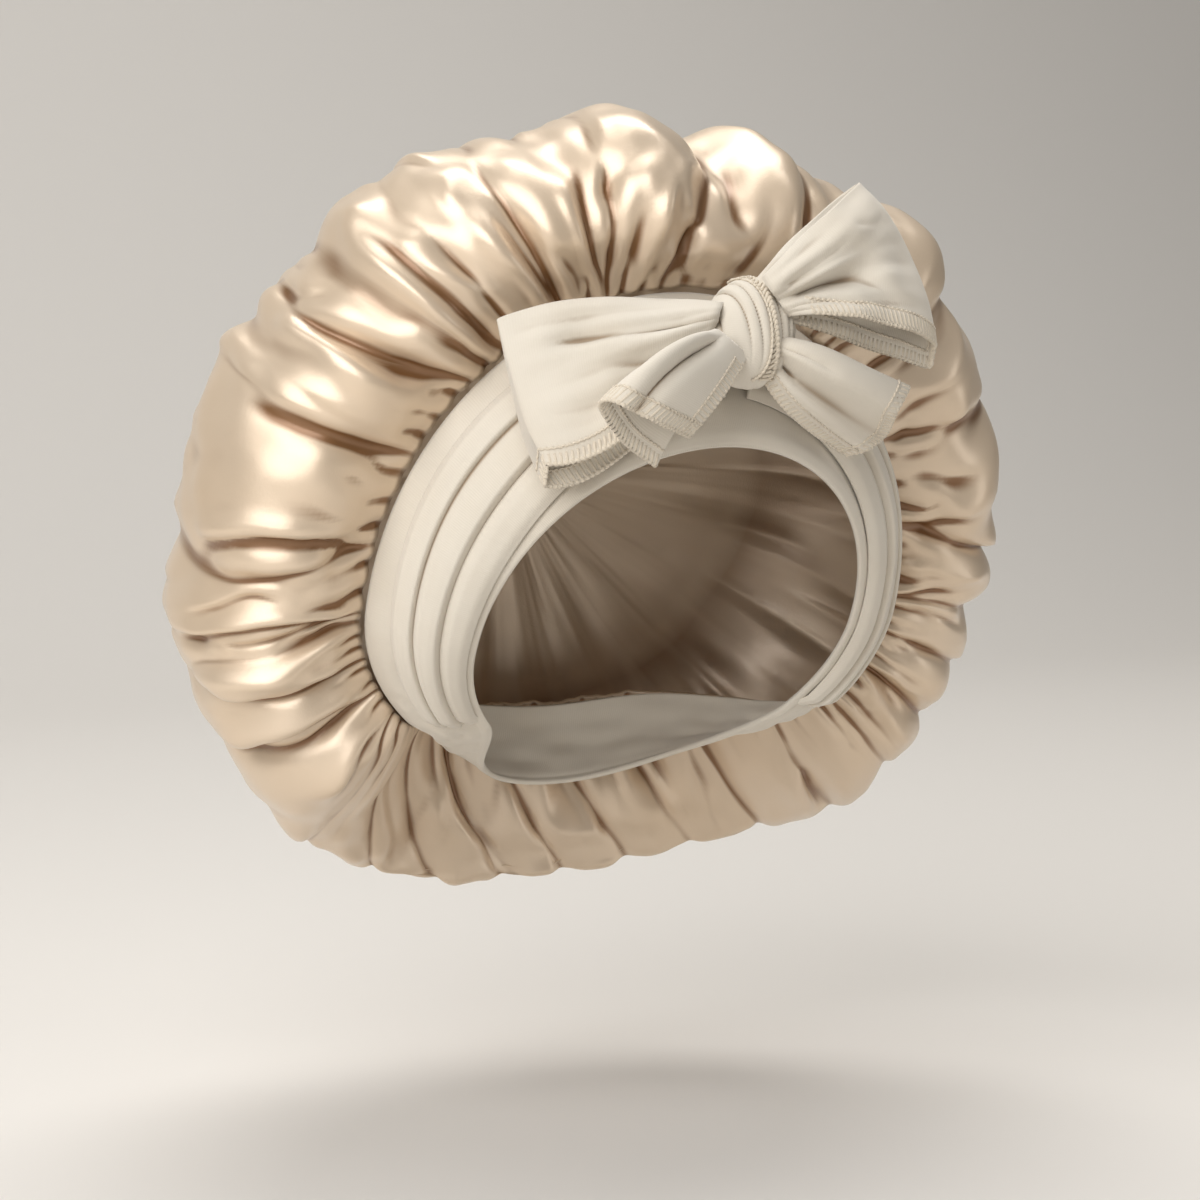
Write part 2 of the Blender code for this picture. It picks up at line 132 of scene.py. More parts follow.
def grid_faces(rows, columns, joined):
    """Corner numbers of every square of a grid, four to a face."""
    wide = columns if joined else columns - 1
    row, column = np.meshgrid(np.arange(rows - 1), np.arange(wide), indexing="ij")
    beside = (column + 1) % columns
    near, far = row * columns, (row + 1) * columns
    return np.stack([near + column, near + beside, far + beside, far + column], axis=-1).reshape(-1, 4)


def ring_closed(points):
    """The grid with its first column repeated at the end."""
    return np.concatenate([points, points[:, :1]], axis=1)


def read_grid(grid, rows, columns):
    """Bilinear reading of a grid at fractional rows and columns."""
    r0 = np.clip(np.floor(rows).astype(int), 0, grid.shape[0] - 2)
    c0 = np.clip(np.floor(columns).astype(int), 0, grid.shape[1] - 2)
    r, c = (rows - r0)[..., None], (columns - c0)[..., None]
    near = grid[r0, c0] * (1 - c) + grid[r0, c0 + 1] * c
    far = grid[r0 + 1, c0] * (1 - c) + grid[r0 + 1, c0 + 1] * c
    return near * (1 - r) + far * r


def cloth_lengths(points, joined):
    """Where each grid point lies on the flat cloth: mean lengths along the columns and along the rows."""
    ring = ring_closed(points) if joined else points
    across = np.linalg.norm(np.diff(ring, axis=1), axis=-1).mean(axis=0)
    along = np.linalg.norm(np.diff(points, axis=0), axis=-1).mean(axis=1)
    u = np.concatenate([[0.0], np.cumsum(across)])
    v = np.concatenate([[0.0], np.cumsum(along)])
    return np.stack(np.meshgrid(u, v), axis=-1)


def patch_mean(points, axis, steps, joined):
    """Mean over 2 * steps + 1 neighbours along one axis, from differences of a running sum."""
    lead = np.take(points, np.arange(-steps, 0) if joined else np.zeros(steps, int), axis=axis)
    trail = np.take(points, np.arange(steps) if joined else np.full(steps, -1), axis=axis)
    first = np.zeros_like(np.take(points, [0], axis=axis))
    sums = np.cumsum(np.concatenate([first, lead, points, trail], axis=axis), axis=axis)
    count = points.shape[axis]
    high = np.take(sums, np.arange(count) + 2 * steps + 1, axis=axis)
    return (high - np.take(sums, np.arange(count), axis=axis)) / (2 * steps + 1)


def hollow_depth(points, joined=False, behind=0.0):
    """How deep a point lies in a crease: (mean of its surroundings - point) . outward normal, as a share of
    one crease depth. It is positive in creases and negative on crests."""
    around = points
    for axis, ring in ((0, False), (1, joined)):
        step = np.median(np.linalg.norm(np.diff(points, axis=axis), axis=-1))
        steps = int(np.clip(round(HOLLOW_REACH / step), 1, 12))
        around = patch_mean(around, axis, steps, ring)
    normals = grid_normals(points, joined)
    side = np.sign((normals * (points - behind)).sum())
    return np.clip(((around - points) * normals).sum(axis=-1) * side / HOLLOW_FULL, -1, 1)


# %% Cloth objects
def linked(name, data):
    """A new object in the scene that shows a mesh, a lamp or a camera."""
    made = bpy.data.objects.new(name, data)
    bpy.context.scene.collection.objects.link(made)
    return made


def cloth_object(name, points, joined=False, poles=(None, None), outside=None, shades=None):
    """A smooth mesh on a grid of points. outside is a point that the outer faces look away from. Every cloth
    carries how deep it lies in its creases, which darkens its colour there as painted shade."""
    if shades is None:
        shades = hollow_depth(points, joined, 0.0 if outside is None else outside)
    rows, columns = points.shape[:2]
    vertices = points.reshape(-1, 3)
    faces = grid_faces(rows, columns, joined)
    flipped = False
    if outside is not None:
        a, b, c = (vertices[faces[:, k]] for k in range(3))
        flipped = (np.cross(b - a, c - a) * (a - outside)).sum() < 0
    if flipped:
        faces = faces[:, ::-1]
    polygons = faces.tolist()
    extra = []
    for pole, first in zip(poles, (0, (rows - 1) * columns)):
        if pole is None:
            continue
        tip = len(vertices) + len(extra)
        extra.append(pole)
        here = first + np.arange(columns)
        beyond = first + (np.arange(columns) + 1) % columns
        order = (beyond, here) if (first == 0) != flipped else (here, beyond)
        polygons += np.stack([*order, np.full(columns, tip)], axis=-1).tolist()
    mesh = bpy.data.meshes.new(name)
    mesh.from_pydata(np.concatenate([vertices, np.array(extra).reshape(-1, 3)]).tolist(), [], polygons)
    lay_uv(mesh, faces, cloth_lengths(points, joined), columns, flipped)
    # painted shade: the crease depth is stored as an attribute that darkens the colour in the creases
    values = np.zeros(len(mesh.vertices), np.float32)
    values[: rows * columns] = shades.ravel()
    mesh.attributes.new("painted_crease_shade", "FLOAT", "POINT").data.foreach_set("value", values)
    mesh.shade_smooth()
    return linked(name, mesh)


def lay_uv(mesh, faces, flat, columns, flipped):
    """Writes the flat cloth's lengths as a UV map. The last column of a ring reads one column further on."""
    low, high = (faces[:, 3], faces[:, 2]) if flipped else (faces[:, 0], faces[:, 1])
    row, column = low // columns, low % columns
    steps = [(0, 0), (0, 1), (1, 1), (1, 0)]
    if flipped:
        steps = steps[::-1]
    uv = np.stack([flat[row + down, column + right] for down, right in steps], axis=1).reshape(-1, 2)
    layer = mesh.uv_layers.new(name="cloth")
    whole = np.zeros((len(mesh.loops), 2), np.float32)
    whole[: len(uv)] = uv
    layer.data.foreach_set("uv", whole.ravel())


def thickness(piece, wall):
    """Gives a sheet its wall with a Solidify modifier, half of it on each side."""
    solidify = piece.modifiers.new("Wall", "SOLIDIFY")
    solidify.thickness = wall
    solidify.offset = 0.0
    solidify.use_rim = True
    return piece


def sheet_area(points, joined=False):
    """Area of a grid in square metres: half the cross products of both diagonals of every square."""
    if joined:
        points = ring_closed(points)
    one = points[1:, 1:] - points[:-1, :-1]
    two = points[1:, :-1] - points[:-1, 1:]
    return float(np.linalg.norm(np.cross(one, two), axis=-1).sum() / 2)


# %% [markdown]
# ## The seam ring and the band's free edge
#
# Both are egg-shaped rings: a cosine sideways, a sine upwards, and a different height above and below the
# widest line. At the nape both rings move back, because the band has to pass behind the neck.

# %% The two rings
SEAM_HALF_WIDTH = 0.112
SEAM_TOP = 0.127
SEAM_BOTTOM = 0.080
NAPE_SETBACK = 0.070
NAPE_START_DEG = 36.0
FACE_HALF_WIDTH = 0.0795
FACE_TOP = 0.087
FACE_BOTTOM = 0.070
FACE_ADVANCE_TOP = 0.058
FACE_ADVANCE_BOTTOM = 0.0104
NAPE_DROP = 0.036
BAND_SWELL = 0.005
BAND_WALL = 0.002


def egg(degrees, half_width, top, bottom, lift=0.0):
    """(u, v) = (half width times cosine, lift plus height times sine), with one height above, one below."""
    angle = np.radians(degrees)
    height = np.where(np.sin(angle) > 0, top, bottom)
    return np.stack([half_width * np.cos(angle), lift + height * np.sin(angle)], axis=-1)


def nape_share(degrees):
    """0 round the face and 1 at the nape, with a smooth step between."""
    return ease(-np.sin(np.radians(degrees)), math.sin(math.radians(NAPE_START_DEG)), 1.0)


def seam_places(degrees):
    """The seam ring, set back at the nape."""
    outline = egg(degrees, SEAM_HALF_WIDTH, SEAM_TOP, SEAM_BOTTOM)
    return np.concatenate([outline, (NAPE_SETBACK * nape_share(degrees))[..., None]], axis=-1)


def face_places(degrees):
    """The free edge: furthest forward over the brow, and dropped low at the nape."""
    outline = egg(degrees, FACE_HALF_WIDTH, FACE_TOP, FACE_BOTTOM)
    nape = nape_share(degrees)
    outline[..., 1] -= NAPE_DROP * nape
    raised = (1 + np.sin(np.radians(degrees))) / 2
    advance = FACE_ADVANCE_BOTTOM * (1 + nape) + (FACE_ADVANCE_TOP - FACE_ADVANCE_BOTTOM) * raised
    return np.concatenate([outline, (NAPE_SETBACK * nape - advance)[..., None]], axis=-1)


def band_outward(degrees):
    """Unit direction away from the head, square to the slope from the free edge to the seam."""
    angle = np.radians(degrees)
    round_ring = np.stack([-np.sin(angle), np.cos(angle), np.zeros_like(angle)], axis=-1)
    return unit(np.cross(round_ring, seam_places(degrees) - face_places(degrees)))


def band_places(degrees, across, raised=0.0):
    """The band's middle surface: a straight mix of both rings, plus a sine swell and a height outwards."""
    share = np.asarray(across)[..., None]
    lift = np.asarray(raised)[..., None] + BAND_SWELL * np.sin(np.pi * share)
    return face_places(degrees) * (1 - share) + seam_places(degrees) * share + lift * band_outward(degrees)


# %% [markdown]
# ## The crown's meridian and its creases
#
# The satin leaves the seam in tight gathers, swells forwards, turns over at the rim and closes over the
# back. A short table gives each section on the way as shares of the ring and of the rim. A second table
# gives each main crease: where it starts at the seam, where it ends at the rim, how deep it is and how high
# the puff beside it stands. Between two creases the cloth arches like a pillow.

# %% Crown tables
RIM_HALF_WIDTH = 0.1735
RIM_TOP = 0.171
RIM_BOTTOM = 0.167
RIM_LIFT = 0.010
CROWN_DEPTH = 0.143
FRONT_SWELL = 0.008
CROWN_POLE = np.array([0.0, 0.0, CROWN_DEPTH])
CROWN_INSIDE = np.array([0.0, 0.0, 0.06])
SEAM_STEP = 0.0016

SECTIONS = np.array(
    [
        # seam, rim, depth, swell, setback, swing, fold
        (1.00, 0.00, 0.000, 0.00, 1.00, 0.00, 0.00),
        (0.88, 0.12, 0.000, 0.55, 1.00, 0.12, 0.35),
        (0.68, 0.32, 0.000, 1.00, 0.98, 0.32, 0.75),
        (0.40, 0.60, 0.000, 0.75, 0.92, 0.58, 1.00),
        (0.17, 0.83, 0.045, 0.20, 0.78, 0.80, 1.00),
        (0.04, 0.96, 0.140, 0.00, 0.55, 0.94, 0.90),
        (0.00, 1.00, 0.270, 0.00, 0.30, 1.00, 0.75),
        (0.00, 0.975, 0.450, 0.00, 0.12, 1.00, 0.55),
        (0.00, 0.885, 0.640, 0.00, 0.00, 1.00, 0.32),
        (0.00, 0.740, 0.800, 0.00, 0.00, 1.00, 0.15),
        (0.00, 0.520, 0.915, 0.00, 0.00, 1.00, 0.05),
        (0.00, 0.270, 0.980, 0.00, 0.00, 1.00, 0.00),
        (0.00, 0.020, 1.000, 0.00, 0.00, 1.00, 0.00),
    ]
)
CREASES = np.array(
    [
        # seam_deg, rim_deg, depth, puff
        (13, 0, 0.55, 0.95),
        (30, 24, 0.40, 0.75),
        (44, 42, 0.40, 0.60),
        (58, 57, 0.40, 0.60),
        (69, 70, 0.45, 0.85),
        (94, 85, 0.60, 1.05),
        (105, 101, 0.30, 0.80),
        (114, 116, 0.45, 0.30),
        (123, 127, 0.20, 0.95),
        (135, 145, 0.50, 0.60),
        (151, 156, 0.40, 0.85),
        (168, 182, 0.40, 0.45),
        (181, 192, 0.35, 0.35),
        (195, 199, 0.75, 0.60),
        (205, 210, 0.35, 0.95),
        (213, 232, 0.35, 0.55),
        (224, 245, 0.35, 0.45),
        (233, 256, 0.35, 0.45),
        (246, 267, 0.35, 0.50),
        (259, 277, 0.35, 0.50),
        (273, 287, 0.35, 0.50),
        (287, 296, 0.35, 0.50),
        (301, 305, 0.35, 0.60),
        (314, 313, 0.45, 0.55),
        (326, 322, 0.35, 0.50),
        (338, 331, 0.40, 0.60),
        (348, 341, 0.40, 0.45),
        (358, 350, 0.35, 0.60),
    ],
    float,
)

# %% [markdown]
# ## Drawn fold lines
#
# Puffs alone look like balloons. Real satin is full of sharp lines: creases with a lip on one side, soft
# valleys and narrow crests. Each line of this table is one of them, in the crown's own two parameters: the
# angle round the ring and the run outwards from the seam, at four stations. A minus height is a crease.

# %% Fold lines
FOLD_LINES = np.array(
    [
        # height mm, width mm, lip side, four angles, four runs mm
        (2.2, 2, 0, 3.5, 4.5, 3.6, 2.4, 0, 6, 11, 16),
        (2.6, 3, 0, 4.8, 3.1, 0.2, -2.3, 0, 17, 37, 57),
        (2.2, 1.8, 0, 10.3, 9.4, 8.6, 8.8, 0, 6, 11, 16),
        (-2.6, 2.6, 0, 8.1, 8.7, 9, 9.8, 0, 8, 15, 23),
        (2.4, 2.4, 0, 18.8, 17.0, 15.6, 15.8, 0, 7, 14, 20),
        (-4.6, 2.2, 1, 13, 11.2, 10.7, 9.3, 0, 12, 25, 38),
        (2.4, 3.4, 0, 22.1, 17.9, 13.2, 14.9, 0, 17, 32, 49),
        (-2.2, 3.4, 0, 22.2, 19.3, 16.9, 18, 0, 17, 34, 53),
        (2.8, 3, 0, 27.3, 26.4, 27.6, 32.6, 0, 17, 34, 44),
        (-2.6, 3, 0, 27.3, 28.1, 30.3, 32.6, 0, 7, 12, 17),
        (-3.4, 4, 1, 28.7, 33.1, 33.7, 33.7, 0, 12, 29, 47),
        (-2.4, 4, 0, 38.9, 35.8, 33.2, 33.7, 60, 75, 71, 54),
        (4, 6, 0, 33.7, 35.5, 39.6, 47.7, 18, 42, 63, 49),
        (-3.2, 4, 0, 79.1, 82.2, 80.8, 77.7, 29, 46, 65, 83),
        (-2.8, 3.2, -1, 89.6, 89.9, 90.2, 93.4, 0, 16, 31, 44),
        (-2, 1.8, 0, 91.7, 91.3, 91, 90.6, 0, 2, 5, 7),
        (2.6, 2.8, 0, 96.7, 94.2, 87.5, 80.4, 18, 41, 60, 79),
        (1.8, 2.4, 0, 93.1, 93.2, 92.5, 94.5, 0, 9, 18, 24),
        (-1.8, 1.8, 0, 93.1, 94.7, 96.2, 97.8, 0, 5, 10, 14),
        (-2.6, 3.5, -1, 99.9, 99.6, 98.5, 94.6, 0, 17, 33, 47),
        (-3, 4, 0, 104.6, 100.7, 96.2, 91.7, 47, 53, 57, 61),
        (2.5, 3, 0, 104.5, 100.4, 98.4, 97.4, 48, 68, 91, 114),
        (-1.6, 1.6, 0, 103.2, 102.8, 102.4, 102, 0, 4, 8, 12),
        (-2.6, 3.5, 0, 103.2, 102.9, 103.3, 104.9, 0, 11, 22, 32),
        (-5, 2.4, 1, 104.8, 106.7, 106.3, 103.3, 0, 24, 48, 71),
        (-3.4, 3, 1, 110, 110.7, 111.8, 113.2, 0, 13, 25, 37),
        (-4.5, 3.4, 1, 114.5, 116, 117.3, 117.9, 0, 21, 43, 65),
        (3, 5, 0, 122.8, 120.5, 118.3, 116, 57, 67, 77, 86),
        (2.5, 3, 0, 122.8, 125.9, 128.6, 130.4, 22, 34, 47, 61),
        (3, 6, 0, 122.5, 129.8, 131, 132.1, 56, 60, 85, 109),
        (-5, 3, 1, 127.9, 129.4, 131, 131.8, 0, 30, 59, 89),
        (-2, 5, 1, 132, 132.1, 134.3, 139.7, 0, 21, 41, 55),
        (-1.6, 2, 0, 140.4, 140.8, 141.2, 141.5, 0, 4, 9, 13),
        (-3.5, 2.6, 1, 136.1, 142.1, 144.6, 146.1, 0, 32, 66, 100),
        (-3, 3, -1, 139.4, 142.6, 143.7, 144.7, 71, 82, 98, 114),
        (-1.6, 2.2, 0, 141.2, 142.9, 144.5, 145.7, 0, 5, 11, 17),
        (-2.6, 5, 0, 139.3, 142.3, 145.9, 148.4, 0, 27, 54, 81),
        (-1.8, 2.2, 0, 145.9, 147.1, 148.2, 149, 0, 5, 10, 16),
        (2.6, 5, 0, 149.5, 150.3, 150.7, 147, 26, 53, 79, 103),
        (-2, 2.6, 1, 156.4, 155.5, 154.8, 154.7, 0, 11, 21, 32),
        (-3.2, 2.4, -1, 151.6, 154.5, 156.4, 158.4, 0, 29, 59, 89),
        (-2.2, 6, 0, 157.4, 158.6, 159.7, 164.2, 0, 20, 40, 57),
        (-1.6, 2.2, 0, 159.7, 160.5, 161.4, 163, 0, 5, 10, 13),
        (-2.2, 3, 0, 169.4, 170.8, 172.3, 174.6, 0, 8, 16, 23),
        (-4.5, 2.6, -1, 169.4, 169.3, 174.6, 181.1, 0, 31, 60, 88),
        (2.6, 5, 0, 170.9, 173, 177.2, 180.9, 0, 27, 52, 78),
        (-2.6, 2.2, -1, 180.1, 181.2, 185.8, 187.6, 32, 48, 64, 83),
        (-4.5, 2.4, -1, 182.1, 184.8, 190.8, 195, 0, 36, 71, 106),
        (-3.6, 2.6, 1, 182.6, 189.6, 193.3, 197.9, 0, 29, 63, 96),
        (2.4, 2.6, 0, 190.9, 190.4, 190.8, 191.2, 51, 58, 64, 71),
        (-2, 2, 0, 194.8, 192.2, 189.6, 190.7, 0, 3, 6, 10),
        (2.4, 5, 0, 197.4, 193.7, 197.5, 201, 0, 29, 57, 86),
        (-1.8, 3, 0, 195.7, 196.6, 197.5, 199.1, 0, 11, 21, 31),
        (-2, 2, 0, 195.7, 197.2, 198.8, 200.2, 0, 3, 5, 8),
        (-4.5, 4, -1, 205.6, 204.2, 208.3, 213.4, 0, 31, 60, 89),
        (-3.6, 2.6, -1, 212.9, 213.7, 217.2, 222, 0, 16, 29, 40),
        (2.6, 6.0, 0, 219, 227, 236, 241, 4, 26, 50, 80),
        (-3.4, 4.6, -1, 228, 236, 246, 250, 0, 25, 50, 84),
        (2.2, 6.0, 0, 240, 248, 256, 262, 6, 28, 54, 84),
        (-4.2, 4.2, -1, 247, 255, 265, 270, 0, 27, 54, 86),
        (-4, 3, -1, 315.3, 313.1, 312.6, 312.3, 25, 38, 52, 66),
        (-2.6, 3.4, 0, 325.6, 324.4, 323.3, 322.2, 0, 9, 17, 26),
        (2.2, 2.4, 0, 330.1, 328.5, 327.1, 327.5, 0, 7, 14, 22),
        (2.6, 3, 0, 335.6, 331.8, 329.1, 329.6, 0, 18, 36, 56),
        (-2.4, 2.4, 0, 335.7, 333.1, 330.7, 328.4, 0, 5, 10, 16),
        (2.4, 2.6, 0, 337.2, 334.3, 331.6, 328, 0, 7, 15, 20),
        (-2.6, 2.6, 0, 337.2, 336.1, 332.9, 331.6, 0, 13, 24, 37),
        (2.6, 2.6, 0, 337.2, 338.4, 336.6, 339.1, 0, 14, 27, 41),
        (-2.2, 2.4, 0, 346.3, 345.5, 344.1, 343.9, 0, 9, 17, 26),
        (2, 2.2, 0, 347.2, 348.3, 346.1, 345.9, 0, 8, 13, 22),
        (-2, 2, 0, 347.2, 348.7, 350.1, 351.6, 0, 2, 5, 7),
        (-2.6, 2.4, 1, 357.4, 353.7, 350.2, 346.9, 0, 18, 37, 56),
        (2.8, 3, 0, 357.1, 353.9, 349.5, 347.1, 0, 18, 36, 56),
        (-4, 2.2, 1, 357.1, 358, 357.3, 355.6, 0, 13, 26, 38),
    ],
    float,
)

# %% [markdown]
# ## Gathers, puffs and sags
#
# Gathered cloth folds in families. Right at the seam there are more than a hundred tiny pleats; a little
# further out they merge in twos and threes; near the rim only the big puffs are left. So each family is a
# sum of creases with its own reach, and every crease widens as it runs out. Gravity then pulls each puff
# down over the crease below it, which gives satin its overlapping tiers.

# %% Puffs and gathers
PUFF_FULLNESS = 2.2
PUFF_LEAN = 0.6
PUFF_HEIGHT = 0.0052
CUT_SHARPNESS = 5.0
PLEATS_PER_METRE = 128.0
SEAM_CREASE = (2.4 * MM, 0.045, 1.4 * MM)
STRONG_PLEAT = {"depth": (4.2, 5.8), "reach": (0.030, 0.050)}
WEAK_PLEAT = {"depth": (2.8, 4.2), "reach": (0.015, 0.028)}
PLEAT_WIDTH = (2.1, 2.8)
lobe_draw = np.random.default_rng(3)
LOBE_LEAN = lobe_draw.uniform(-0.35, 0.35, len(CREASES))
LOBE_RHYTHM = lobe_draw.uniform(0.075, 0.13, len(CREASES))
LOBE_PHASE = lobe_draw.uniform(0, 2 * math.pi, len(CREASES))


def crease_table(seed=11):
    """Every crease as (lobe place, depth, reach, width): main ones, their halves, and the tiny pleats."""
    draw = np.random.default_rng(seed)
    after = np.roll(CREASES[:, 0], -1) + np.where(np.arange(len(CREASES)) == len(CREASES) - 1, 360, 0)
    rows = []
    for lobe, wide in enumerate(np.radians(after - CREASES[:, 0]) * SEAM_HALF_WIDTH):
        pleats = max(2, int(round(wide * PLEATS_PER_METRE)))
        rows.append((lobe, *SEAM_CREASE))
        for k in range(1, pleats):
            place = lobe + (k + draw.uniform(-0.22, 0.22)) / pleats
            kind = STRONG_PLEAT if (k + lobe) % 3 == 1 else WEAK_PLEAT
            depth = draw.uniform(*kind["depth"]) * MM
            reach = draw.uniform(*kind["reach"])
            rows.append((place, depth, reach, draw.uniform(*PLEAT_WIDTH) * MM))
    return np.array(rows)


def crown_angles(lobe, swing):
    """Degrees of a lobe place: a mix of its angle at the seam and at the rim by how far it has swung."""
    seam = np.append(CREASES[:, 0], CREASES[0, 0] + 360)
    rim = np.append(CREASES[:, 1], CREASES[0, 1] + 360)
    place = np.arange(len(seam))
    wrapped = np.mod(lobe, len(CREASES))
    return np.interp(wrapped, place, seam) * (1 - swing) + np.interp(wrapped, place, rim) * swing


def puff_heights(lobe, degrees, run, fold):
    """Arches between creases, 1 - |2u - 1|^fullness, minus a narrow cut at each crease. u is t to a power, so
    that the ridge leans downhill: a broad face above it and a steep one below. Each puff swells and narrows
    along its run in its own rhythm."""
    index = np.floor(lobe).astype(int) % len(CREASES)
    after = (index + 1) % len(CREASES)
    t = np.clip(lobe - np.floor(lobe), 0, 1)
    lean = -PUFF_LEAN * np.cos(np.radians(degrees)) + LOBE_LEAN[index]
    u = np.where(lean > 0, t ** (2 ** np.abs(lean)), 1 - (1 - t) ** (2 ** np.abs(lean)))
    arch = 1 - np.abs(2 * u - 1) ** PUFF_FULLNESS
    cut = CREASES[index, 2] * (1 - t) + CREASES[after, 2] * t
    rhythm = 1 + 0.22 * np.sin(2 * math.pi * run / LOBE_RHYTHM[index] + LOBE_PHASE[index])
    return fold * PUFF_HEIGHT * (CREASES[index, 3] * arch * rhythm - cut * np.abs(2 * u - 1) ** CUT_SHARPNESS)


def crease_depths(lobe, run, radius_per_lobe):
    """Sum over creases of depth times a narrow valley, which opens and fades as it runs out from the seam."""
    total = np.zeros(np.broadcast(lobe, run).shape)
    span = len(CREASES)
    for place, depth, reach, width in CREASE_LIST:
        away = (lobe - place + span / 2) % span - span / 2
        apart = np.abs(away) * radius_per_lobe
        open_width = width * (1 + 1.6 * run / reach)
        fade = np.exp(-((run / reach) ** 2)) * ease(run, -0.003, 0.0035)
        total += depth * fade * np.exp(-((apart / open_width) ** 1.5))
    return total


CREASE_LIST = crease_table()
print("creases:", len(CREASE_LIST))

# %% [markdown]
# ## Dents and drawn lines
#
# Between the folds the cloth is never quite smooth, so soft seeded waves go over all of it. The drawn lines
# are added on top. Where the table has none, under the bow and over the back, more are drawn by chance from
# a fixed seed. A crease with a lip is steep on one side, gentle on the other and crested beside it, which
# is how a fold lies over its neighbour.

# %% Dents
def dents(degrees, run, fold):
    """Soft hollows and ridges, longer along the folds than across them."""
    across = np.radians(degrees) * 0.15
    broad = ripples(across, run * 0.45, 21, 0.075, 0.030)
    fine = ripples(across, run * 0.55, 22, 0.026, 0.012)
    thin = ripples(across, run * 0.12, 23, 0.011, 0.006)
    strength = ease(run, 0.004, 0.03) * (0.25 + 0.75 * np.clip(fold, 0, 1))
    return strength * (2.6 * MM * broad + 0.9 * MM * fine + 0.22 * MM * thin)


# %% Relief of the fold lines
# widths of a lip's parts as shares of its line's width, and its crest's height as a share of the depth
LIP_STEEP = 0.6
LIP_GENTLE = 1.9
LIP_CREST_AT = 1.7
LIP_CREST = 1.2
LIP_CREST_HEIGHT = 0.45
MORE_LINES = [
    # from degree, to degree, first run mm, last run mm, how many
    (38, 80, 0, 75, 9),
    (257, 312, 0, 80, 13),
    (0, 360, 90, 190, 44),
    (0, 360, 150, 250, 16),
]


def more_fold_lines(seed=17):
    """Fold lines where the table has none: under the bow, round the nape and over the back."""
    draw = np.random.default_rng(seed)
    rows = []
    for low, high, first, last, count in MORE_LINES:
        for k in range(count):
            angle = low + (high - low) * (k + draw.uniform(0.15, 0.85)) / count
            drift = draw.uniform(-7, 7)
            bend = draw.uniform(-2.5, 2.5)
            start = first if first == 0 else first + draw.uniform(-12, 12)
            runs = start + (last - start) * np.array([0, 0.33, 0.67, 1]) * draw.uniform(0.55, 1.0)
            angles = angle + drift * np.array([0, 0.33, 0.67, 1]) + bend * np.array([0, 1, 1, 0])
            height = draw.uniform(1.8, 3.8) * (-1 if k % 3 else 0.8)
            rows.append((height, draw.uniform(2.4, 5.0), draw.integers(-1, 2), *angles, *runs))
    return np.array(rows)


def line_profile(beside, height, width, lip):
    """A crest or crease across its line. With a lip, one side of the crease is steep and crested."""
    if lip == 0 or height > 0:
        return height * np.exp(-((np.abs(beside) / width) ** 1.6))
    side = beside * lip
    steep = np.exp(-((side / (LIP_STEEP * width)) ** 2))
    gentle = np.exp(-((np.abs(side) / (LIP_GENTLE * width)) ** 1.3))
    crest = np.exp(-(((side - LIP_CREST_AT * width) / (LIP_CREST * width)) ** 2))
    return height * (np.where(side > 0, steep, gentle) - LIP_CREST_HEIGHT * crest)


def line_relief(degrees, runs, radius):
    """Sum of all fold lines. Each is a smooth curve of short segments; a point's height depends on its
    distance from the nearest segment, on its side of it and on how far along the line it is."""
    total = np.zeros(degrees.shape)
    for height, width, lip, *stations in LINE_LIST:
        turns_and_runs = np.array(stations).reshape(2, 4).T * np.array([1.0, MM])
        curve = smooth_through(turns_and_runs, np.linspace(0, 1, 11))
        reach = 5 * width * MM
        rows = np.flatnonzero((runs > curve[:, 1].min() - reach) & (runs < curve[:, 1].max() + reach))
        turned = (degrees[rows] - curve[:, 0].mean() + 180) % 360 - 180 + curve[:, 0].mean()
        span = np.degrees(reach / 0.12) + np.ptp(curve[:, 0]) / 2
        columns = np.flatnonzero((np.abs(turned - curve[:, 0].mean()) < span).any(axis=0))
        here = radius[rows][:, columns] * math.pi / 180
        turned = turned[:, columns]
        nearest = np.full(turned.shape, np.inf)
        beside = np.zeros(turned.shape)
        along = np.zeros(turned.shape)
        for k in range(len(curve) - 1):
            off_x = (turned - curve[k, 0]) * here
            off_y = runs[rows][:, None] - curve[k, 1]
            step_x = (curve[k + 1, 0] - curve[k, 0]) * here
            step_y = curve[k + 1, 1] - curve[k, 1]
            length = step_x**2 + step_y**2 + 1e-12
            t = np.clip((off_x * step_x + off_y * step_y) / length, 0, 1)
            away = np.hypot(off_x - t * step_x, off_y - t * step_y)
            closer = away < nearest
            nearest = np.where(closer, away, nearest)
            side = np.sign(step_y * off_x - step_x * off_y)
            beside = np.where(closer, away * side, beside)
            along = np.where(closer, (k + t) / (len(curve) - 1), along)
        starts = np.ones_like(along) if stations[4] < 3 else ease(along, 0.0, 0.3)
        fade = starts * (1 - ease(along, 0.62, 1.0))
        wide = width * MM * (0.75 + 0.7 * along)
        relief = line_profile(beside, height * MM, wide, lip) * fade
        total[np.ix_(rows, columns)] += relief
    return total * (ease(runs, -0.001, 0.016) * (1 - 0.4 * ease(runs, 0.06, 0.10)))[:, None]


LINE_LIST = np.concatenate([FOLD_LINES, more_fold_lines()])
print("fold lines:", len(LINE_LIST))

# %% [markdown]
# ## The crown's skin
#
# Now the parts come together. A smooth table read gives every row its place between the seam and the rim,
# the outline trim pushes the rim in and out to the silhouette, and the folds move each point square to the
# cloth. Rows stand close together from the seam to the rim, where the folds are, and apart over the back.

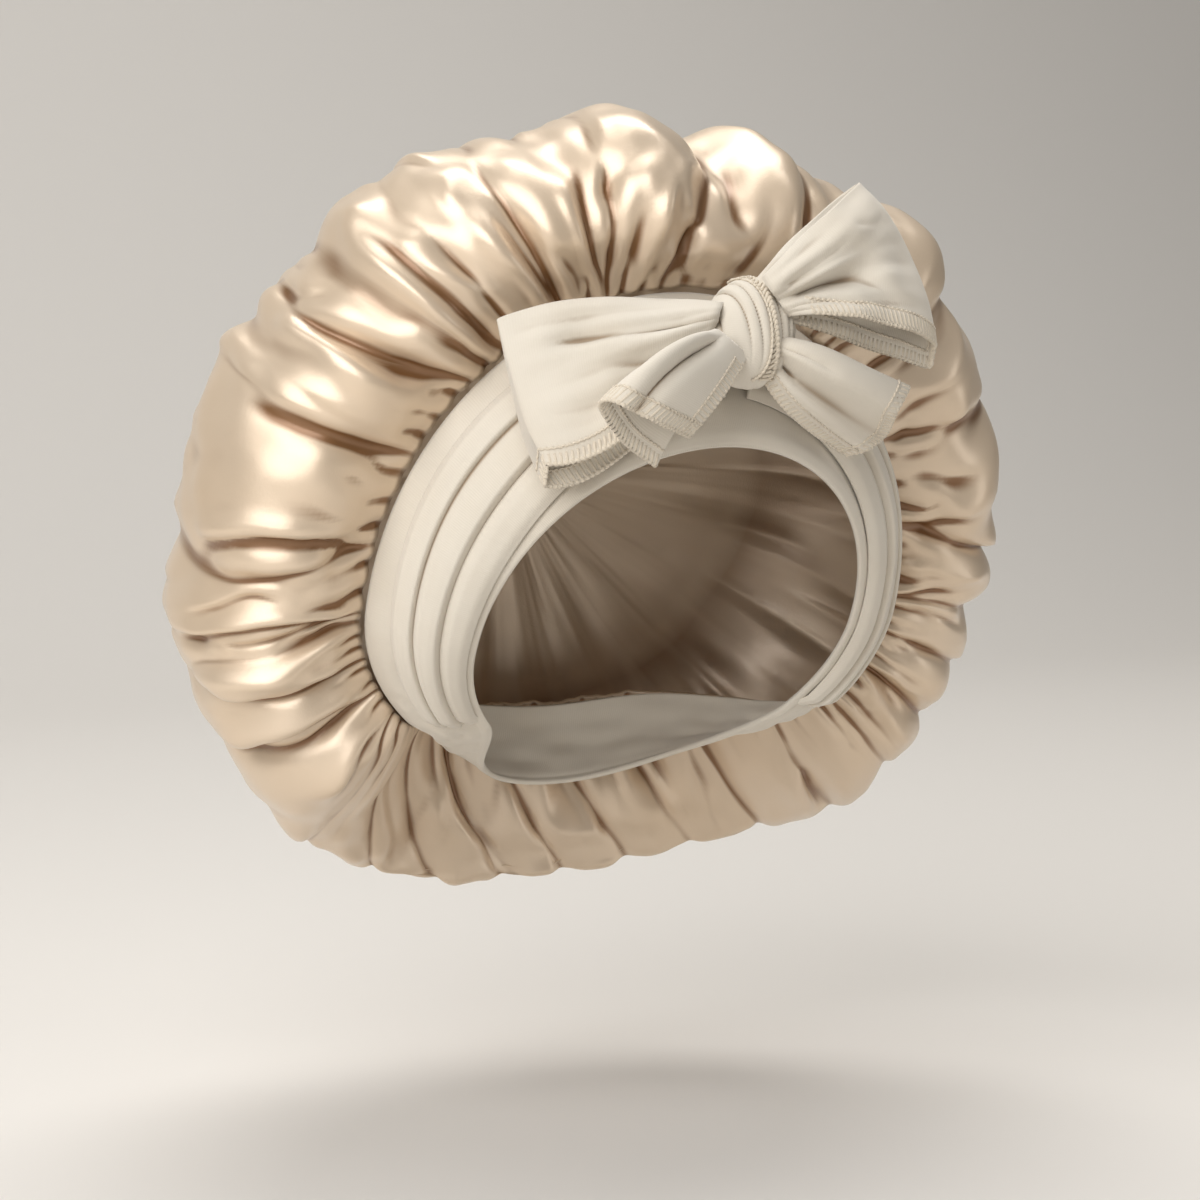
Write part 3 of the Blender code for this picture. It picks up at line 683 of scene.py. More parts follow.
# %% Rows and outline
CROWN_COLUMNS = 800
CROWN_ROWS = 81
OUTLINE_TRIM = np.array(
    [
        # degree, mm outwards
        *((7, -6), (14, -2), (20, 2), (31, -3), (40, 0), (51, 6.5), (64, -8), (70, 0), (76, 0), (81.5, -10)),
        *((90, -3.5), (95, 4.5), (100, 2), (105, -6), (111, 1), (118, 1), (121, 4.5), (126, 6), (132, 4)),
        *((137, -5), (141, -3), (145, 2), (150, -8), (154, 5), (158, 1.5), (163, -2), (175, -2), (182, -3.5)),
        *((186, 0), (192, 5.5), (199, 1), (211, 1), (217, -3.5), (222, -2), (232, 6), (248, 6.5), (257, 5)),
        *((262, 2), (280, 2), (295, 7), (303, 11), (315, 13), (324, 6), (333, 6), (343, 5), (350, 4)),
        (359, 2),
    ]
)
TRIM_DEGREES = np.arange(0, 360, 0.5)
TRIM = np.interp(TRIM_DEGREES, OUTLINE_TRIM[:, 0], OUTLINE_TRIM[:, 1] * MM, period=360)
TRIM = patch_mean(TRIM[:, None], 0, 3, True)[:, 0]


def section_shares(rows):
    """Rows of the section table, close together from the seam to the rim and wider apart over the back."""
    fine = np.linspace(0, 1, 400)
    table = smooth_through(SECTIONS, fine)
    radius = table[:, 0] * SEAM_HALF_WIDTH + table[:, 1] * RIM_HALF_WIDTH
    steps = np.hypot(np.diff(radius), np.diff(table[:, 2] * CROWN_DEPTH))
    length = np.concatenate([[0.0], np.cumsum(steps)])
    weight = 1 - 0.74 * ease(length, 0.085, 0.16)
    paced = np.concatenate([[0.0], np.cumsum(steps * (weight[1:] + weight[:-1]) / 2)])
    picked = np.interp(np.linspace(0, paced[-1], rows), paced, fine)
    return picked, np.interp(picked, fine, length)


# %% The surface
SAG_SHARE = 0.5
SMOOTH_POLE = 0.050


def crown_surface(columns, shares, runs):
    """The crown's skin on a grid: the section places, moved square to the meridian by puffs and creases,
    and downhill by the sag. Returns the places in the ring frame and the height of every fold."""
    table = smooth_through(SECTIONS, shares)[:, :, None]
    seam_part, rim_part, depth, swell, setback, swing, fold = (table[:, k] for k in range(7))
    lobe = np.arange(columns)[None, :] * len(CREASES) / columns
    wander = 0.13 * ripples(lobe * 0.9, runs[:, None] * 40, 5, 9.0, 3.0) * ease(runs[:, None], 0.022, 0.08)
    degrees = crown_angles(lobe, swing)
    lobe = lobe + wander
    seam = seam_places(degrees)
    nape = nape_share(degrees)
    seam[..., :2] += SEAM_STEP * unit(seam[..., :2])
    seam[..., 2] += SEAM_STEP * nape
    rim = egg(degrees, RIM_HALF_WIDTH, RIM_TOP, RIM_BOTTOM, RIM_LIFT)
    rim += unit(rim) * np.interp(degrees, TRIM_DEGREES, TRIM, period=360)[..., None]
    places = np.empty(degrees.shape + (3,))
    places[..., :2] = seam[..., :2] * seam_part[..., None] + rim * rim_part[..., None]
    forward = FRONT_SWELL * swell * (1 - 2 * nape)
    places[..., 2] = seam[..., 2] * setback + depth * CROWN_DEPTH - forward
    radius = np.linalg.norm(places[..., :2], axis=-1)
    per_lobe = radius * 2 * math.pi / len(CREASES)
    heights = puff_heights(lobe, degrees, runs[:, None], fold)
    heights -= crease_depths(lobe, runs[:, None], per_lobe)
    heights += dents(degrees, runs[:, None], fold)
    heights += line_relief(degrees, runs, radius)
    heights *= ease(radius, 0.004, SMOOTH_POLE)
    tangent = np.gradient(places, axis=0)
    radial = unit(places[..., :2])
    outward = (tangent[..., :2] * radial).sum(axis=-1)
    back = tangent[..., 2]
    length = np.maximum(np.hypot(outward, back), 1e-9)
    moved = places.copy()
    moved[..., :2] += radial * (back / length * heights)[..., None]
    moved[..., 2] -= outward / length * heights
    slack = np.clip(heights, 0, None) * ease(runs[:, None], 0.004, 0.03)
    downhill = -np.cos(np.radians(degrees)) * SAG_SHARE * slack
    around = np.stack([-radial[..., 1], radial[..., 0]], axis=-1)
    moved[..., :2] += around * (downhill * fold)[..., None]
    return moved, heights


outer_shares, outer_runs = section_shares(CROWN_ROWS)
outer_skin, outer_heights = crown_surface(CROWN_COLUMNS, outer_shares, outer_runs)
outer_area = sheet_area(from_ring(outer_skin), True)
print("crown skin:", outer_skin.shape, "area", round(outer_area, 3), "square metres")

# %% [markdown]
# ## Letting the satin settle
#
# Drawn folds are a little too even. Blender's Cloth gives them the small slack wrinkles of real satin: a
# coarser copy of the skin is pinned at the seam and over the back, blown up a little from inside, and told
# that its flat cut is a wide disc, so that it has cloth to spare. Only a share of what it moves is used,
# so the drawn folds stay where they are. The finer skin then reads the movement between the coarse rows.

# %% Cloth on a coarse copy
CLOTH_COLUMNS = 560
CLOTH_ROWS = 60
CLOTH_FRAMES = 12
CLOTH_DISC = 0.36
CLOTH_BACK_SHARE = 0.80
CLOTH_GRAVITY = 0.03
CLOTH_RULES = {
    "quality": 4,
    "mass": 0.01,
    "vertex_group_mass": "pins",
    "tension_stiffness": 20.0,
    "compression_stiffness": 20.0,
    "shear_stiffness": 2.0,
    "bending_stiffness": 0.01,
    "tension_damping": 1.0,
    "compression_damping": 1.0,
    "shear_damping": 1.0,
    "bending_damping": 0.5,
    "air_damping": 1.0,
    "use_pressure": True,
    "uniform_pressure_force": 60.0,
}
RELAX_SHARE = 0.5
RELAX_CAP = 7.0 * MM


def flat_disc(skin):
    """The cut cloth: a disc whose radius shrinks by the same length that the skin runs from the seam."""
    steps = np.linalg.norm(np.diff(skin, axis=0), axis=-1).mean(axis=1)
    radius = np.clip(CLOTH_DISC - np.concatenate([[0.0], np.cumsum(steps)]), 0.002, None)[:, None]
    turn = np.arange(CLOTH_COLUMNS) / CLOTH_COLUMNS * 2 * math.pi
    flat = np.zeros((CLOTH_ROWS, CLOTH_COLUMNS))
    return np.stack([radius * np.cos(turn), radius * np.sin(turn), flat], axis=-1)


def settle(skin, shares):
    """Runs Cloth on the skin's grid and returns how far every point has moved."""
    poles = (None, from_ring(CROWN_POLE))
    body = cloth_object("settling", skin, joined=True, poles=poles, outside=from_ring(CROWN_INSIDE))
    count = len(body.data.vertices)
    body.shape_key_add(name="Basis")
    cut = body.shape_key_add(name="cut")
    places = np.zeros((count, 3))
    places[:-1] = flat_disc(skin).reshape(-1, 3)
    cut.data.foreach_set("co", places.ravel())
    cut.value = 0.0
    held_rows = (shares > CLOTH_BACK_SHARE) | (np.arange(CLOTH_ROWS) == 0)
    held = np.flatnonzero(np.repeat(held_rows, CLOTH_COLUMNS)).tolist()
    body.vertex_groups.new(name="pins").add([*held, count - 1], 1.0, "REPLACE")
    cloth = body.modifiers.new("Cloth", "CLOTH")
    for rule, value in CLOTH_RULES.items():
        setattr(cloth.settings, rule, value)
    cloth.settings.rest_shape_key = cut
    cloth.settings.effector_weights.gravity = CLOTH_GRAVITY
    cloth.collision_settings.use_collision = False
    cloth.collision_settings.use_self_collision = False
    cloth.point_cache.frame_start = 1
    cloth.point_cache.frame_end = CLOTH_FRAMES
    for step in range(1, CLOTH_FRAMES + 1):
        bpy.context.scene.frame_set(step)
    moved = np.empty(count * 3)
    shown = body.evaluated_get(bpy.context.evaluated_depsgraph_get())
    shown.data.vertices.foreach_get("co", moved)
    bpy.context.scene.frame_set(1)
    mesh = body.data
    bpy.data.objects.remove(body)
    bpy.data.meshes.remove(mesh)
    return moved.reshape(-1, 3)[:-1].reshape(skin.shape) - skin


coarse_shares, coarse_runs = section_shares(CLOTH_ROWS)
coarse_skin = from_ring(crown_surface(CLOTH_COLUMNS, coarse_shares, coarse_runs)[0])
settled = settle(coarse_skin, coarse_shares)
far = np.linalg.norm(settled, axis=-1, keepdims=True)
print("cloth moved", round(float(far.mean()) * 1000, 1), "mm on average")
settled *= RELAX_SHARE * np.minimum(1, RELAX_CAP / np.maximum(far, 1e-9))


def settled_at(runs):
    """The coarse movement read at other rows and at the fine columns, in the ring frame."""
    rows = np.interp(runs, coarse_runs, np.arange(CLOTH_ROWS))[:, None]
    columns = np.arange(CROWN_COLUMNS)[None, :] * CLOTH_COLUMNS / CROWN_COLUMNS
    return read_grid(ring_closed(settled), rows, columns) @ RING_AXES.T


def softened(skin):
    """One pass of (1, 2, 1) / 4 along the rows and round the ring, which takes off the grid's own steps."""
    skin = 0.5 * skin + 0.25 * (np.roll(skin, 1, axis=1) + np.roll(skin, -1, axis=1))
    inner = 0.5 * skin[1:-1] + 0.25 * (skin[:-2] + skin[2:])
    return np.concatenate([skin[:1], inner, skin[-1:]])


outer_skin = softened(outer_skin + settled_at(outer_runs))

# %% [markdown]
# ## The crown as one closed piece
#
# The satin is doubled, so the crown has an inner face too. It is every second row of the same surface, set
# a little inwards. Putting the inner rows, in reverse, before the outer rows makes one long grid that
# starts at the inner pole, turns at the seam and ends at the outer pole: a closed body with no extra faces.

# %% Build the crown
LINING_STEP = 0.0016
LINING_EXTRA = 0.0018
# painted shade: how strongly the lining, the gathers at the seam and the deep valleys darken the satin's
# colour
LINING_SHADE = 0.5
GATHER_SHADE = 0.9
VALLEY_SHADE = 0.15


def lining_of(skin, runs):
    """Every second row of the skin, moved inwards along normals that are smoothed over the small folds."""
    normals = grid_normals(skin, joined=True)
    normals = unit(patch_mean(patch_mean(normals, 1, 8, True), 0, 3, False))
    outward = normals * np.sign((normals * (skin - CROWN_INSIDE)).sum())
    step = LINING_STEP + LINING_EXTRA * ease(runs, 0.003, 0.02)
    return (skin - step[:, None, None] * outward)[::2]


def crown_painted_shades():
    """Painted shade: crease depths of the lining and of the skin, with the tight gathers at the seam shaded
    most.
    """
    near_seam = 1 - ease(outer_runs, 0.008, 0.045)
    outer = hollow_depth(outer_skin, True, CROWN_INSIDE) * (1 + GATHER_SHADE * near_seam)[:, None]
    outer += VALLEY_SHADE * ease(-outer_heights, 0.0, 9 * MM)
    return np.concatenate([-LINING_SHADE * hollow_depth(lining_skin, True, CROWN_INSIDE)[::-1], outer])


lining_skin = lining_of(outer_skin, outer_runs)
crown_grid = np.concatenate([lining_skin[::-1], outer_skin])
inner_pole = CROWN_POLE - np.array([0.0, 0.0, LINING_STEP + LINING_EXTRA])
crown = cloth_object(
    "crown_satin",
    from_ring(crown_grid),
    joined=True,
    poles=(from_ring(inner_pole), from_ring(CROWN_POLE)),
    shades=crown_painted_shades(),
)
print("crown faces:", len(crown.data.polygons))

# %% [markdown]
# ## The jersey band
#
# The band is one strip of knit, folded double, that runs from its free edge at the face back to the seam.
# It could be lofted between two curves by hand; here it is the straight mix of both rings from above, with
# a slight swell, a rolled fold at the free edge and soft stretch ripples that run round the head.

# %% Build the band
BAND_COLUMNS = 420
BAND_ROWS = 44
BAND_WIDTH = 0.065
BAND_WAVE = 0.9 * MM
WRAP_PINCH_DEG = 213.0
PINCH_SPREAD_DEG = 13.0
EDGE_ROLL = 0.7 * MM
EDGE_ROLL_AT = 4.0 * MM
EDGE_ROLL_WIDTH = 2.2 * MM


def band_surface():
    """The band's middle surface with ripples: long round the head and short across it."""
    degrees = np.arange(BAND_COLUMNS) * 360 / BAND_COLUMNS
    across = np.linspace(0, 1, BAND_ROWS)[:, None]
    around = np.radians(degrees)[None, :] * SEAM_HALF_WIDTH
    wave = ripples(around * 0.5, across * 0.06, 31, 0.034, 0.014)
    mirrored = (180 - degrees) % 360
    aside = [(side - WRAP_PINCH_DEG - 9) / PINCH_SPREAD_DEG for side in (degrees, mirrored)]
    pinch = sum(np.exp(-(share**2)) for share in aside)
    wave = wave + 1.3 * pinch * ripples(around, across * BAND_WIDTH, 33, 0.022, 0.009)
    quiet = np.sin(np.pi * across) * (0.35 + 0.65 * ease(-np.sin(np.radians(degrees)), -0.6, 0.2))
    edge = EDGE_ROLL * np.exp(-(((across * BAND_WIDTH - EDGE_ROLL_AT) / EDGE_ROLL_WIDTH) ** 2))
    raised = BAND_WAVE * wave * quiet + edge
    return band_places(np.broadcast_to(degrees, raised.shape), np.broadcast_to(across, raised.shape), raised)


band_skin = from_ring(band_surface())
band = thickness(cloth_object("band_jersey", band_skin, joined=True, outside=np.zeros(3)), BAND_WALL)
print("band area", round(sheet_area(band_skin, True), 4))

# %% [markdown]
# ## The ties where they wrap the band
#
# Each tie starts in a pinch at the temple, opens into a fan of pleats and closes again under the knot.
# A table gives every fold line at three stations, and a height for each: pleats stand up and creases stay
# down. Reading the table smoothly in both directions gives rounded pleats that spread and gather.

# %% Build the wrapped ties
WRAP_WALL = 0.0014
WRAP_PLEAT = 0.0035
LAYER_GAP = 0.0006
KNOT_DEG = 86.0
KNOT_HALF_WIDTH = 0.018
WRAP_UNDER_KNOT = 0.35
TUCK_DEPTH = 0.0030
WRAP_ROWS = 150
WRAP_COLUMNS = 112
WRAP_WIDTH = 0.046
# each crease's place across the tie, and the height of its crest in mm
WRAP_CREASES = ((0.335, 1.5), (0.665, 1.2), (0.13, 0.7), (0.86, 0.6))
WRAP_FOLDS = np.array(
    [
        # temple, brow, knot, height
        (0.05, 0.06, 0.26, 0.00),
        (0.10, 0.13, 0.32, 0.70),
        (0.17, 0.25, 0.39, 0.45),
        (0.22, 0.31, 0.44, 0.00),
        (0.26, 0.35, 0.47, 1.05),
        (0.33, 0.46, 0.53, 0.80),
        (0.38, 0.57, 0.58, 0.20),
        (0.42, 0.61, 0.62, 0.85),
        (0.50, 0.72, 0.69, 0.60),
        (0.58, 0.80, 0.76, 0.00),
    ]
)


def wrap_stack():
    """How far a wrapped tie's middle surface lies above the band's."""
    return BAND_WALL / 2 + LAYER_GAP + WRAP_WALL / 2


def wrap_surface(mirrored):
    """A pleated tie over the band: each fold line goes from the temple over the brow to the knot."""
    along = np.linspace(0, 1, WRAP_ROWS)
    place = np.linspace(0, 1, WRAP_COLUMNS)
    lines = smooth_through(WRAP_FOLDS, place)
    across = smooth_through(lines[:, :3].T, along)
    tucked = WRAP_UNDER_KNOT * math.degrees(KNOT_HALF_WIDTH / SEAM_TOP)
    start, end = WRAP_PINCH_DEG, KNOT_DEG + tucked
    if mirrored:
        start, end = 180 - WRAP_PINCH_DEG, KNOT_DEG - tucked
    degrees = start + (end - start) * along
    wave = ripples(along[:, None] * 0.09, place[None, :] * 0.03, 41 + mirrored, 0.05, 0.014)
    out = ease(along, -0.02, 0.10)[:, None]
    raised = wrap_stack() + WRAP_PLEAT * lines[None, :, 3] * (0.75 + 0.25 * out)
    for crease, height in WRAP_CREASES:
        beside = (place - crease) * WRAP_WIDTH / MM
        crest = np.exp(-(((beside - 2.6) / 1.7) ** 2))
        shoulder = np.exp(-(((beside + 3.2) / 2.0) ** 2))
        raised += height * MM * (crest + 0.5 * shoulder)
    raised += 0.45 * MM * (1 + wave) * np.sin(np.pi * place)
    raised -= TUCK_DEPTH * (1 - ease(along, 0.0, 0.035))[:, None]
    wide = np.repeat(degrees[:, None], WRAP_COLUMNS, axis=1)
    return from_ring(band_places(wide, across, raised))


wraps = {}
for side, mirrored in (("right", False), ("left", True)):
    skin = wrap_surface(mirrored)
    piece = cloth_object(f"tie_wrap_{side}_jersey", skin, outside=np.zeros(3))
    wraps[side] = thickness(piece, WRAP_WALL)
    print(side, "wrap area", round(sheet_area(skin), 4))

# %% [markdown]
# ## The knot
#
# A real knot is a strap wound tightly round the waist of the bow. Its surface is an egg shape whose radius
# swells and narrows along its length, so that it reads as parallel folds of cloth, and the folds slant.

# %% Build the knot
KNOT_ON_BAND = 0.47
KNOT_HALF_HEIGHT = 0.0225
KNOT_HALF_DEPTH = 0.0155
KNOT_ROLL = math.radians(24.0)
KNOT_REST = 0.0009
KNOT_SLANT = math.radians(-62.0)
KNOT_PLEATS = 4.2
KNOT_EDGE = 0.10


def knot_centre():
    """The knot's centre, seated on the wrapped ties."""
    above = wrap_stack() + WRAP_WALL / 2 + WRAP_PLEAT / 2 + KNOT_REST + KNOT_HALF_DEPTH
    return band_places(np.array(KNOT_DEG), np.array(KNOT_ON_BAND), np.array(above))


def knot_axes():
    """The knot's own directions: across, up the band's slope and out from the head, rolled a little."""
    here = np.array(KNOT_DEG)
    out = band_outward(here)
    up = unit(seam_places(here) - face_places(here))
    across = np.cross(up, out)
    turned = across * math.cos(KNOT_ROLL) + up * math.sin(KNOT_ROLL)
    return np.stack([turned, np.cross(out, turned), out])


def knot_surface(rows=150, columns=170):
    """Egg shape times a swell. The swell repeats along a slanting direction: s = cos(slant) cos(theta) +
    sin(slant) sin(theta) cos(phi), and steps up where the strap's own edge crosses the front."""
    around = np.linspace(0, 2 * np.pi, columns, endpoint=False)
    theta, phi = np.meshgrid(np.linspace(0, np.pi, rows + 2)[1:-1], around, indexing="ij")
    slant = math.cos(KNOT_SLANT) * np.cos(theta) + math.sin(KNOT_SLANT) * np.sin(theta) * np.cos(phi)
    place = KNOT_PLEATS * (slant + 0.10 * np.sin(2.2 * phi + 0.6) + 0.05 * np.sin(5 * slant + phi)) + 0.15
    t = place - np.floor(place)
    arch = 1 - np.abs(2 * t**0.75 - 1) ** 2.4
    cut = np.exp(-((np.minimum(t, 1 - t) / 0.07) ** 2))
    strap = ease(KNOT_EDGE - slant, -0.015, 0.03)
    fine = ripples(slant * 0.05, phi * 0.010, 71, 0.014, 0.006)
    swell = 1 + np.sin(theta) * (0.085 * (arch - 0.6) - 0.045 * cut + 0.050 * (strap - 0.5) + 0.008 * fine)
    square = 1 - 0.05 * np.cos(2 * phi)
    body = np.stack(
        [
            KNOT_HALF_WIDTH * np.sin(theta) ** 0.82 * np.cos(phi) * swell * square,
            KNOT_HALF_HEIGHT * np.cos(theta),
            KNOT_HALF_DEPTH * np.sin(theta) ** 0.82 * np.sin(phi) * swell * square,
        ],
        axis=-1,
    )
    tips = np.array([[0.0, KNOT_HALF_HEIGHT, 0.0], [0.0, -KNOT_HALF_HEIGHT, 0.0]])
    return body @ knot_axes() + knot_centre(), tips @ knot_axes() + knot_centre()


knot_skin, knot_tips = knot_surface()
knot = cloth_object(
    "knot_jersey",
    from_ring(knot_skin),
    joined=True,
    poles=tuple(from_ring(knot_tips)),
    outside=from_ring(knot_centre()),
)

# %% [markdown]
# ## The bow's loops and ends
#
# Each loop is a wide strip folded back on itself, and each end is a strip that rolls as it hangs. A table
# holds a few fold lines that run out from the knot, each with a place at its root, halfway and at its end.
# A parabola runs along every line and a smooth curve runs from line to line.

# %% Bow tables
BOW_REACH = 0.090
BOW_WALL = 0.0012
LOOP_ROOT_OPENING = 0.006
BACK_LAYER_DROP = 0.008
RIGHT_LOOP = np.array(
    [
        # root, middle, end
        ((-0.13, 0.11, 0.02), (-0.56, 0.06, 0.22), (-1.00, -0.04, 0.29)),  # top edge
        ((-0.17, 0.10, -0.04), (-0.64, -0.01, 0.06), (-0.99, -0.15, 0.18)),  # upper ridge
        ((-0.18, 0.06, -0.05), (-0.65, -0.14, 0.00), (-0.96, -0.29, 0.09)),  # valley
        ((-0.19, 0.03, -0.05), (-0.63, -0.26, -0.11), (-0.94, -0.40, -0.02)),  # lower ridge
        ((-0.18, -0.01, -0.06), (-0.58, -0.39, -0.18), (-0.89, -0.51, -0.14)),  # hem
    ]
)
LEFT_LOOP = np.array(
    [
        # root, middle, end
        ((0.01, 0.22, 0.02), (0.27, 0.44, 0.11), (0.55, 0.56, 0.29)),  # top edge
        ((0.02, 0.19, -0.05), (0.32, 0.37, -0.01), (0.64, 0.47, 0.18)),  # upper ridge
        ((0.06, 0.15, -0.05), (0.40, 0.27, 0.02), (0.74, 0.32, 0.11)),  # valley
        ((0.08, 0.12, -0.07), (0.39, 0.20, -0.11), (0.81, 0.14, 0.00)),  # lower ridge
        ((0.11, 0.09, -0.07), (0.40, 0.10, -0.16), (0.85, -0.04, -0.07)),  # hem
    ]
)
RIGHT_TAIL = np.array(
    [
        # root, middle, end
        ((-0.09, -0.03, -0.18), (-0.28, -0.13, -0.38), (-0.44, -0.28, -0.45)),  # side edge
        ((-0.19, 0.04, -0.22), (-0.49, 0.00, -0.47), (-0.68, -0.16, -0.56)),  # front
        ((-0.25, 0.08, -0.20), (-0.59, 0.06, -0.42), (-0.81, -0.11, -0.49)),  # upper front
        ((-0.27, 0.07, -0.19), (-0.61, -0.01, -0.36), (-0.83, -0.16, -0.41)),  # fold
        ((-0.21, 0.02, -0.16), (-0.51, -0.12, -0.31), (-0.68, -0.33, -0.36)),  # back
        ((-0.13, -0.04, -0.16), (-0.38, -0.20, -0.31), (-0.52, -0.44, -0.36)),  # tucked edge
    ]
)
LEFT_TAIL = np.array(
    [
        # root, middle, end
        ((0.00, -0.09, -0.11), (0.12, -0.26, -0.19), (0.49, -0.50, -0.12)),  # side edge
        ((0.01, -0.06, -0.16), (0.19, -0.22, -0.26), (0.55, -0.45, -0.18)),  # flap
        ((0.04, -0.04, -0.15), (0.25, -0.19, -0.22), (0.64, -0.40, -0.15)),  # crease
        ((0.03, 0.01, -0.18), (0.24, -0.07, -0.31), (0.60, -0.25, -0.27)),  # roll front
        ((0.08, 0.03, -0.14), (0.29, 0.00, -0.25), (0.68, -0.17, -0.20)),  # roll top
        ((0.09, -0.03, -0.08), (0.33, -0.11, -0.15), (0.69, -0.28, -0.08)),  # tucked edge
    ]
)

# %% Fold sheets and their creases
LOOP_SIZE = np.array([0.082, 0.055])
TAIL_SIZE = np.array([0.060, 0.070])


def fold_sheet(table, along, across):
    """Parabolas along every fold line, joined by a smooth curve from line to line."""
    lines = table * BOW_REACH
    a = np.asarray(along)[:, None, None]
    root, middle, end = lines[:, 0], lines[:, 1], lines[:, 2]
    stations = (1 - a) * (1 - 2 * a) * root + 4 * a * (1 - a) * middle + a * (2 * a - 1) * end
    return smooth_through(stations.transpose(1, 0, 2), across).transpose(1, 0, 2) + knot_centre()


def sheet_creases(lines, along, across, size):
    """Creases on a folded strip: each is a smooth line through three stations (along, across), with a height
    and width in mm and a lip side, and it fades towards both of its ends."""
    total = np.zeros(along.shape)
    for height, width, lip, *stations in lines:
        curve = smooth_through(np.array(stations).reshape(3, 2), np.linspace(0, 1, 90)) * size
        x, y = along * size[0], across * size[1]
        away = np.hypot(x[..., None] - curve[:, 0], y[..., None] - curve[:, 1])
        near = away.argmin(axis=-1)
        ahead = unit(np.gradient(curve, axis=0))[near]
        beside = ahead[..., 0] * (y - curve[near, 1]) - ahead[..., 1] * (x - curve[near, 0])
        beside = np.sign(beside) * away.min(axis=-1)
        t = near / (len(curve) - 1)
        fade = ease(t, -0.1, 0.25) * (1 - ease(t, 0.7, 1.0))
        total += fade * line_profile(beside, height * MM, width * MM * (0.7 + 0.6 * t), lip)
    return total


# height mm, width mm, lip side, then (along, across) at three stations
BOW_CREASES = {
    "bow_loop_left": [
        (-5.0, 5.5, -1, 0.05, 0.55, 0.40, 0.60, 0.80, 0.84),
        (-2.8, 4.0, 0, 0.02, 0.30, 0.30, 0.30, 0.66, 0.22),
        (-1.5, 2.6, 1, 0.05, 0.80, 0.35, 0.82, 0.60, 0.92),
        (-1.1, 2.6, 0, 0.62, 0.18, 0.80, 0.26, 0.97, 0.24),
    ],
    "bow_loop_right": [
        (-4.6, 5.0, 1, 0.02, 0.40, 0.40, 0.33, 0.84, 0.22),
        (-2.2, 3.2, -1, 0.02, 0.62, 0.22, 0.64, 0.48, 0.58),
        (-1.2, 3.0, 0, 0.35, 0.75, 0.65, 0.72, 0.95, 0.68),
    ],
    "bow_tail_right": [
        (-5.0, 3.2, 1, 0.00, 0.30, 0.60, 0.28, 1.45, 0.26),
        (-1.4, 2.2, 0, 0.05, 0.52, 0.35, 0.55, 0.70, 0.52),
    ],
    "bow_tail_left": [
        (-1.8, 2.0, 0, 0.00, 0.36, 0.14, 0.38, 0.30, 0.36),
        (-1.4, 2.6, 0, 0.00, 0.62, 0.30, 0.64, 0.60, 0.62),
    ],
}


# %% Build the loops and ends
def loop_surface(table, opening, seed, creases, half_rows=66, columns=84):
    """Front layer out to the far fold, back layer home again, with creases that fan out from the knot."""
    out = np.sin(np.linspace(0, math.pi / 2, half_rows)) ** 0.9
    along = np.concatenate([out, out[-2::-1]])
    side = np.concatenate([np.ones(half_rows - 1), [0.0], -np.ones(half_rows - 1)])
    across = np.linspace(0, 1, columns)
    sheet = fold_sheet(table, along, across)
    normal = unit(grid_normals(sheet[:half_rows]).mean(axis=(0, 1)))
    normal = normal * -np.sign(normal[2])
    half = (LOOP_ROOT_OPENING + (opening - LOOP_ROOT_OPENING) * np.minimum(along / 0.5, 1)) / 2
    half = half * np.sqrt(np.clip(1 - (np.clip(along - 0.5, 0, 0.5) / 0.5) ** 2, 0, 1))
    points = sheet + (side * half)[:, None, None] * normal
    points[:, :, 1] -= BACK_LAYER_DROP * np.outer((side < 0) * along, across)
    spread = across[None, :] - 0.5
    fan = ripples(spread * 0.10 + 0 * along[:, None], along[:, None] * 0.012, seed, 0.030, 0.011)
    soft = ripples(spread * 0.08, along[:, None] * 0.09, seed + 1, 0.070, 0.030)
    strength = np.sin(np.pi * np.clip(along, 0, 1))[:, None] ** 0.7
    height = MM * (1.6 * fan * (1 - 0.6 * along[:, None]) + 1.5 * soft) * strength
    front = np.clip(side, 0, 1) * ease(along, 0.0, 0.15) * (1 - ease(along, 0.93, 1.0))
    long, wide = np.meshgrid(along, across, indexing="ij")
    height = height + front[:, None] * sheet_creases(creases, long, wide, LOOP_SIZE)
    return points + height[..., None] * normal


def tail_surface(table, seed, creases, rows=72, columns=110):
    """A hanging end: the fold sheet with soft creases along it."""
    along = np.linspace(0, 1, rows)
    across = np.linspace(0, 1, columns)
    sheet = fold_sheet(table, along, across)
    wave = ripples(across[None, :] * 0.09, along[:, None] * 0.02, seed, 0.030, 0.012)
    height = 0.6 * MM * wave * np.sin(np.pi * along)[:, None] ** 0.6
    long, wide = np.meshgrid(along, across, indexing="ij")
    height = height + ease(long, 0.0, 0.15) * sheet_creases(creases, long, wide, TAIL_SIZE)
    normals = grid_normals(sheet)
    outward = np.sign((normals * (sheet - sheet.mean(axis=1, keepdims=True))).sum(axis=-1).mean())
    return sheet + height[..., None] * normals * outward


bow_skins = {
    "bow_loop_right": loop_surface(RIGHT_LOOP, 0.010, 51, BOW_CREASES["bow_loop_right"]),
    "bow_loop_left": loop_surface(LEFT_LOOP, 0.014, 53, BOW_CREASES["bow_loop_left"]),
    "bow_tail_right": tail_surface(RIGHT_TAIL, 55, BOW_CREASES["bow_tail_right"]),
    "bow_tail_left": tail_surface(LEFT_TAIL, 57, BOW_CREASES["bow_tail_left"]),
}
bow = {}
for node, skin in bow_skins.items():
    bow[node] = thickness(cloth_object(f"{node}_jersey", from_ring(skin)), BOW_WALL)
    print(node, "area", round(sheet_area(skin), 5))

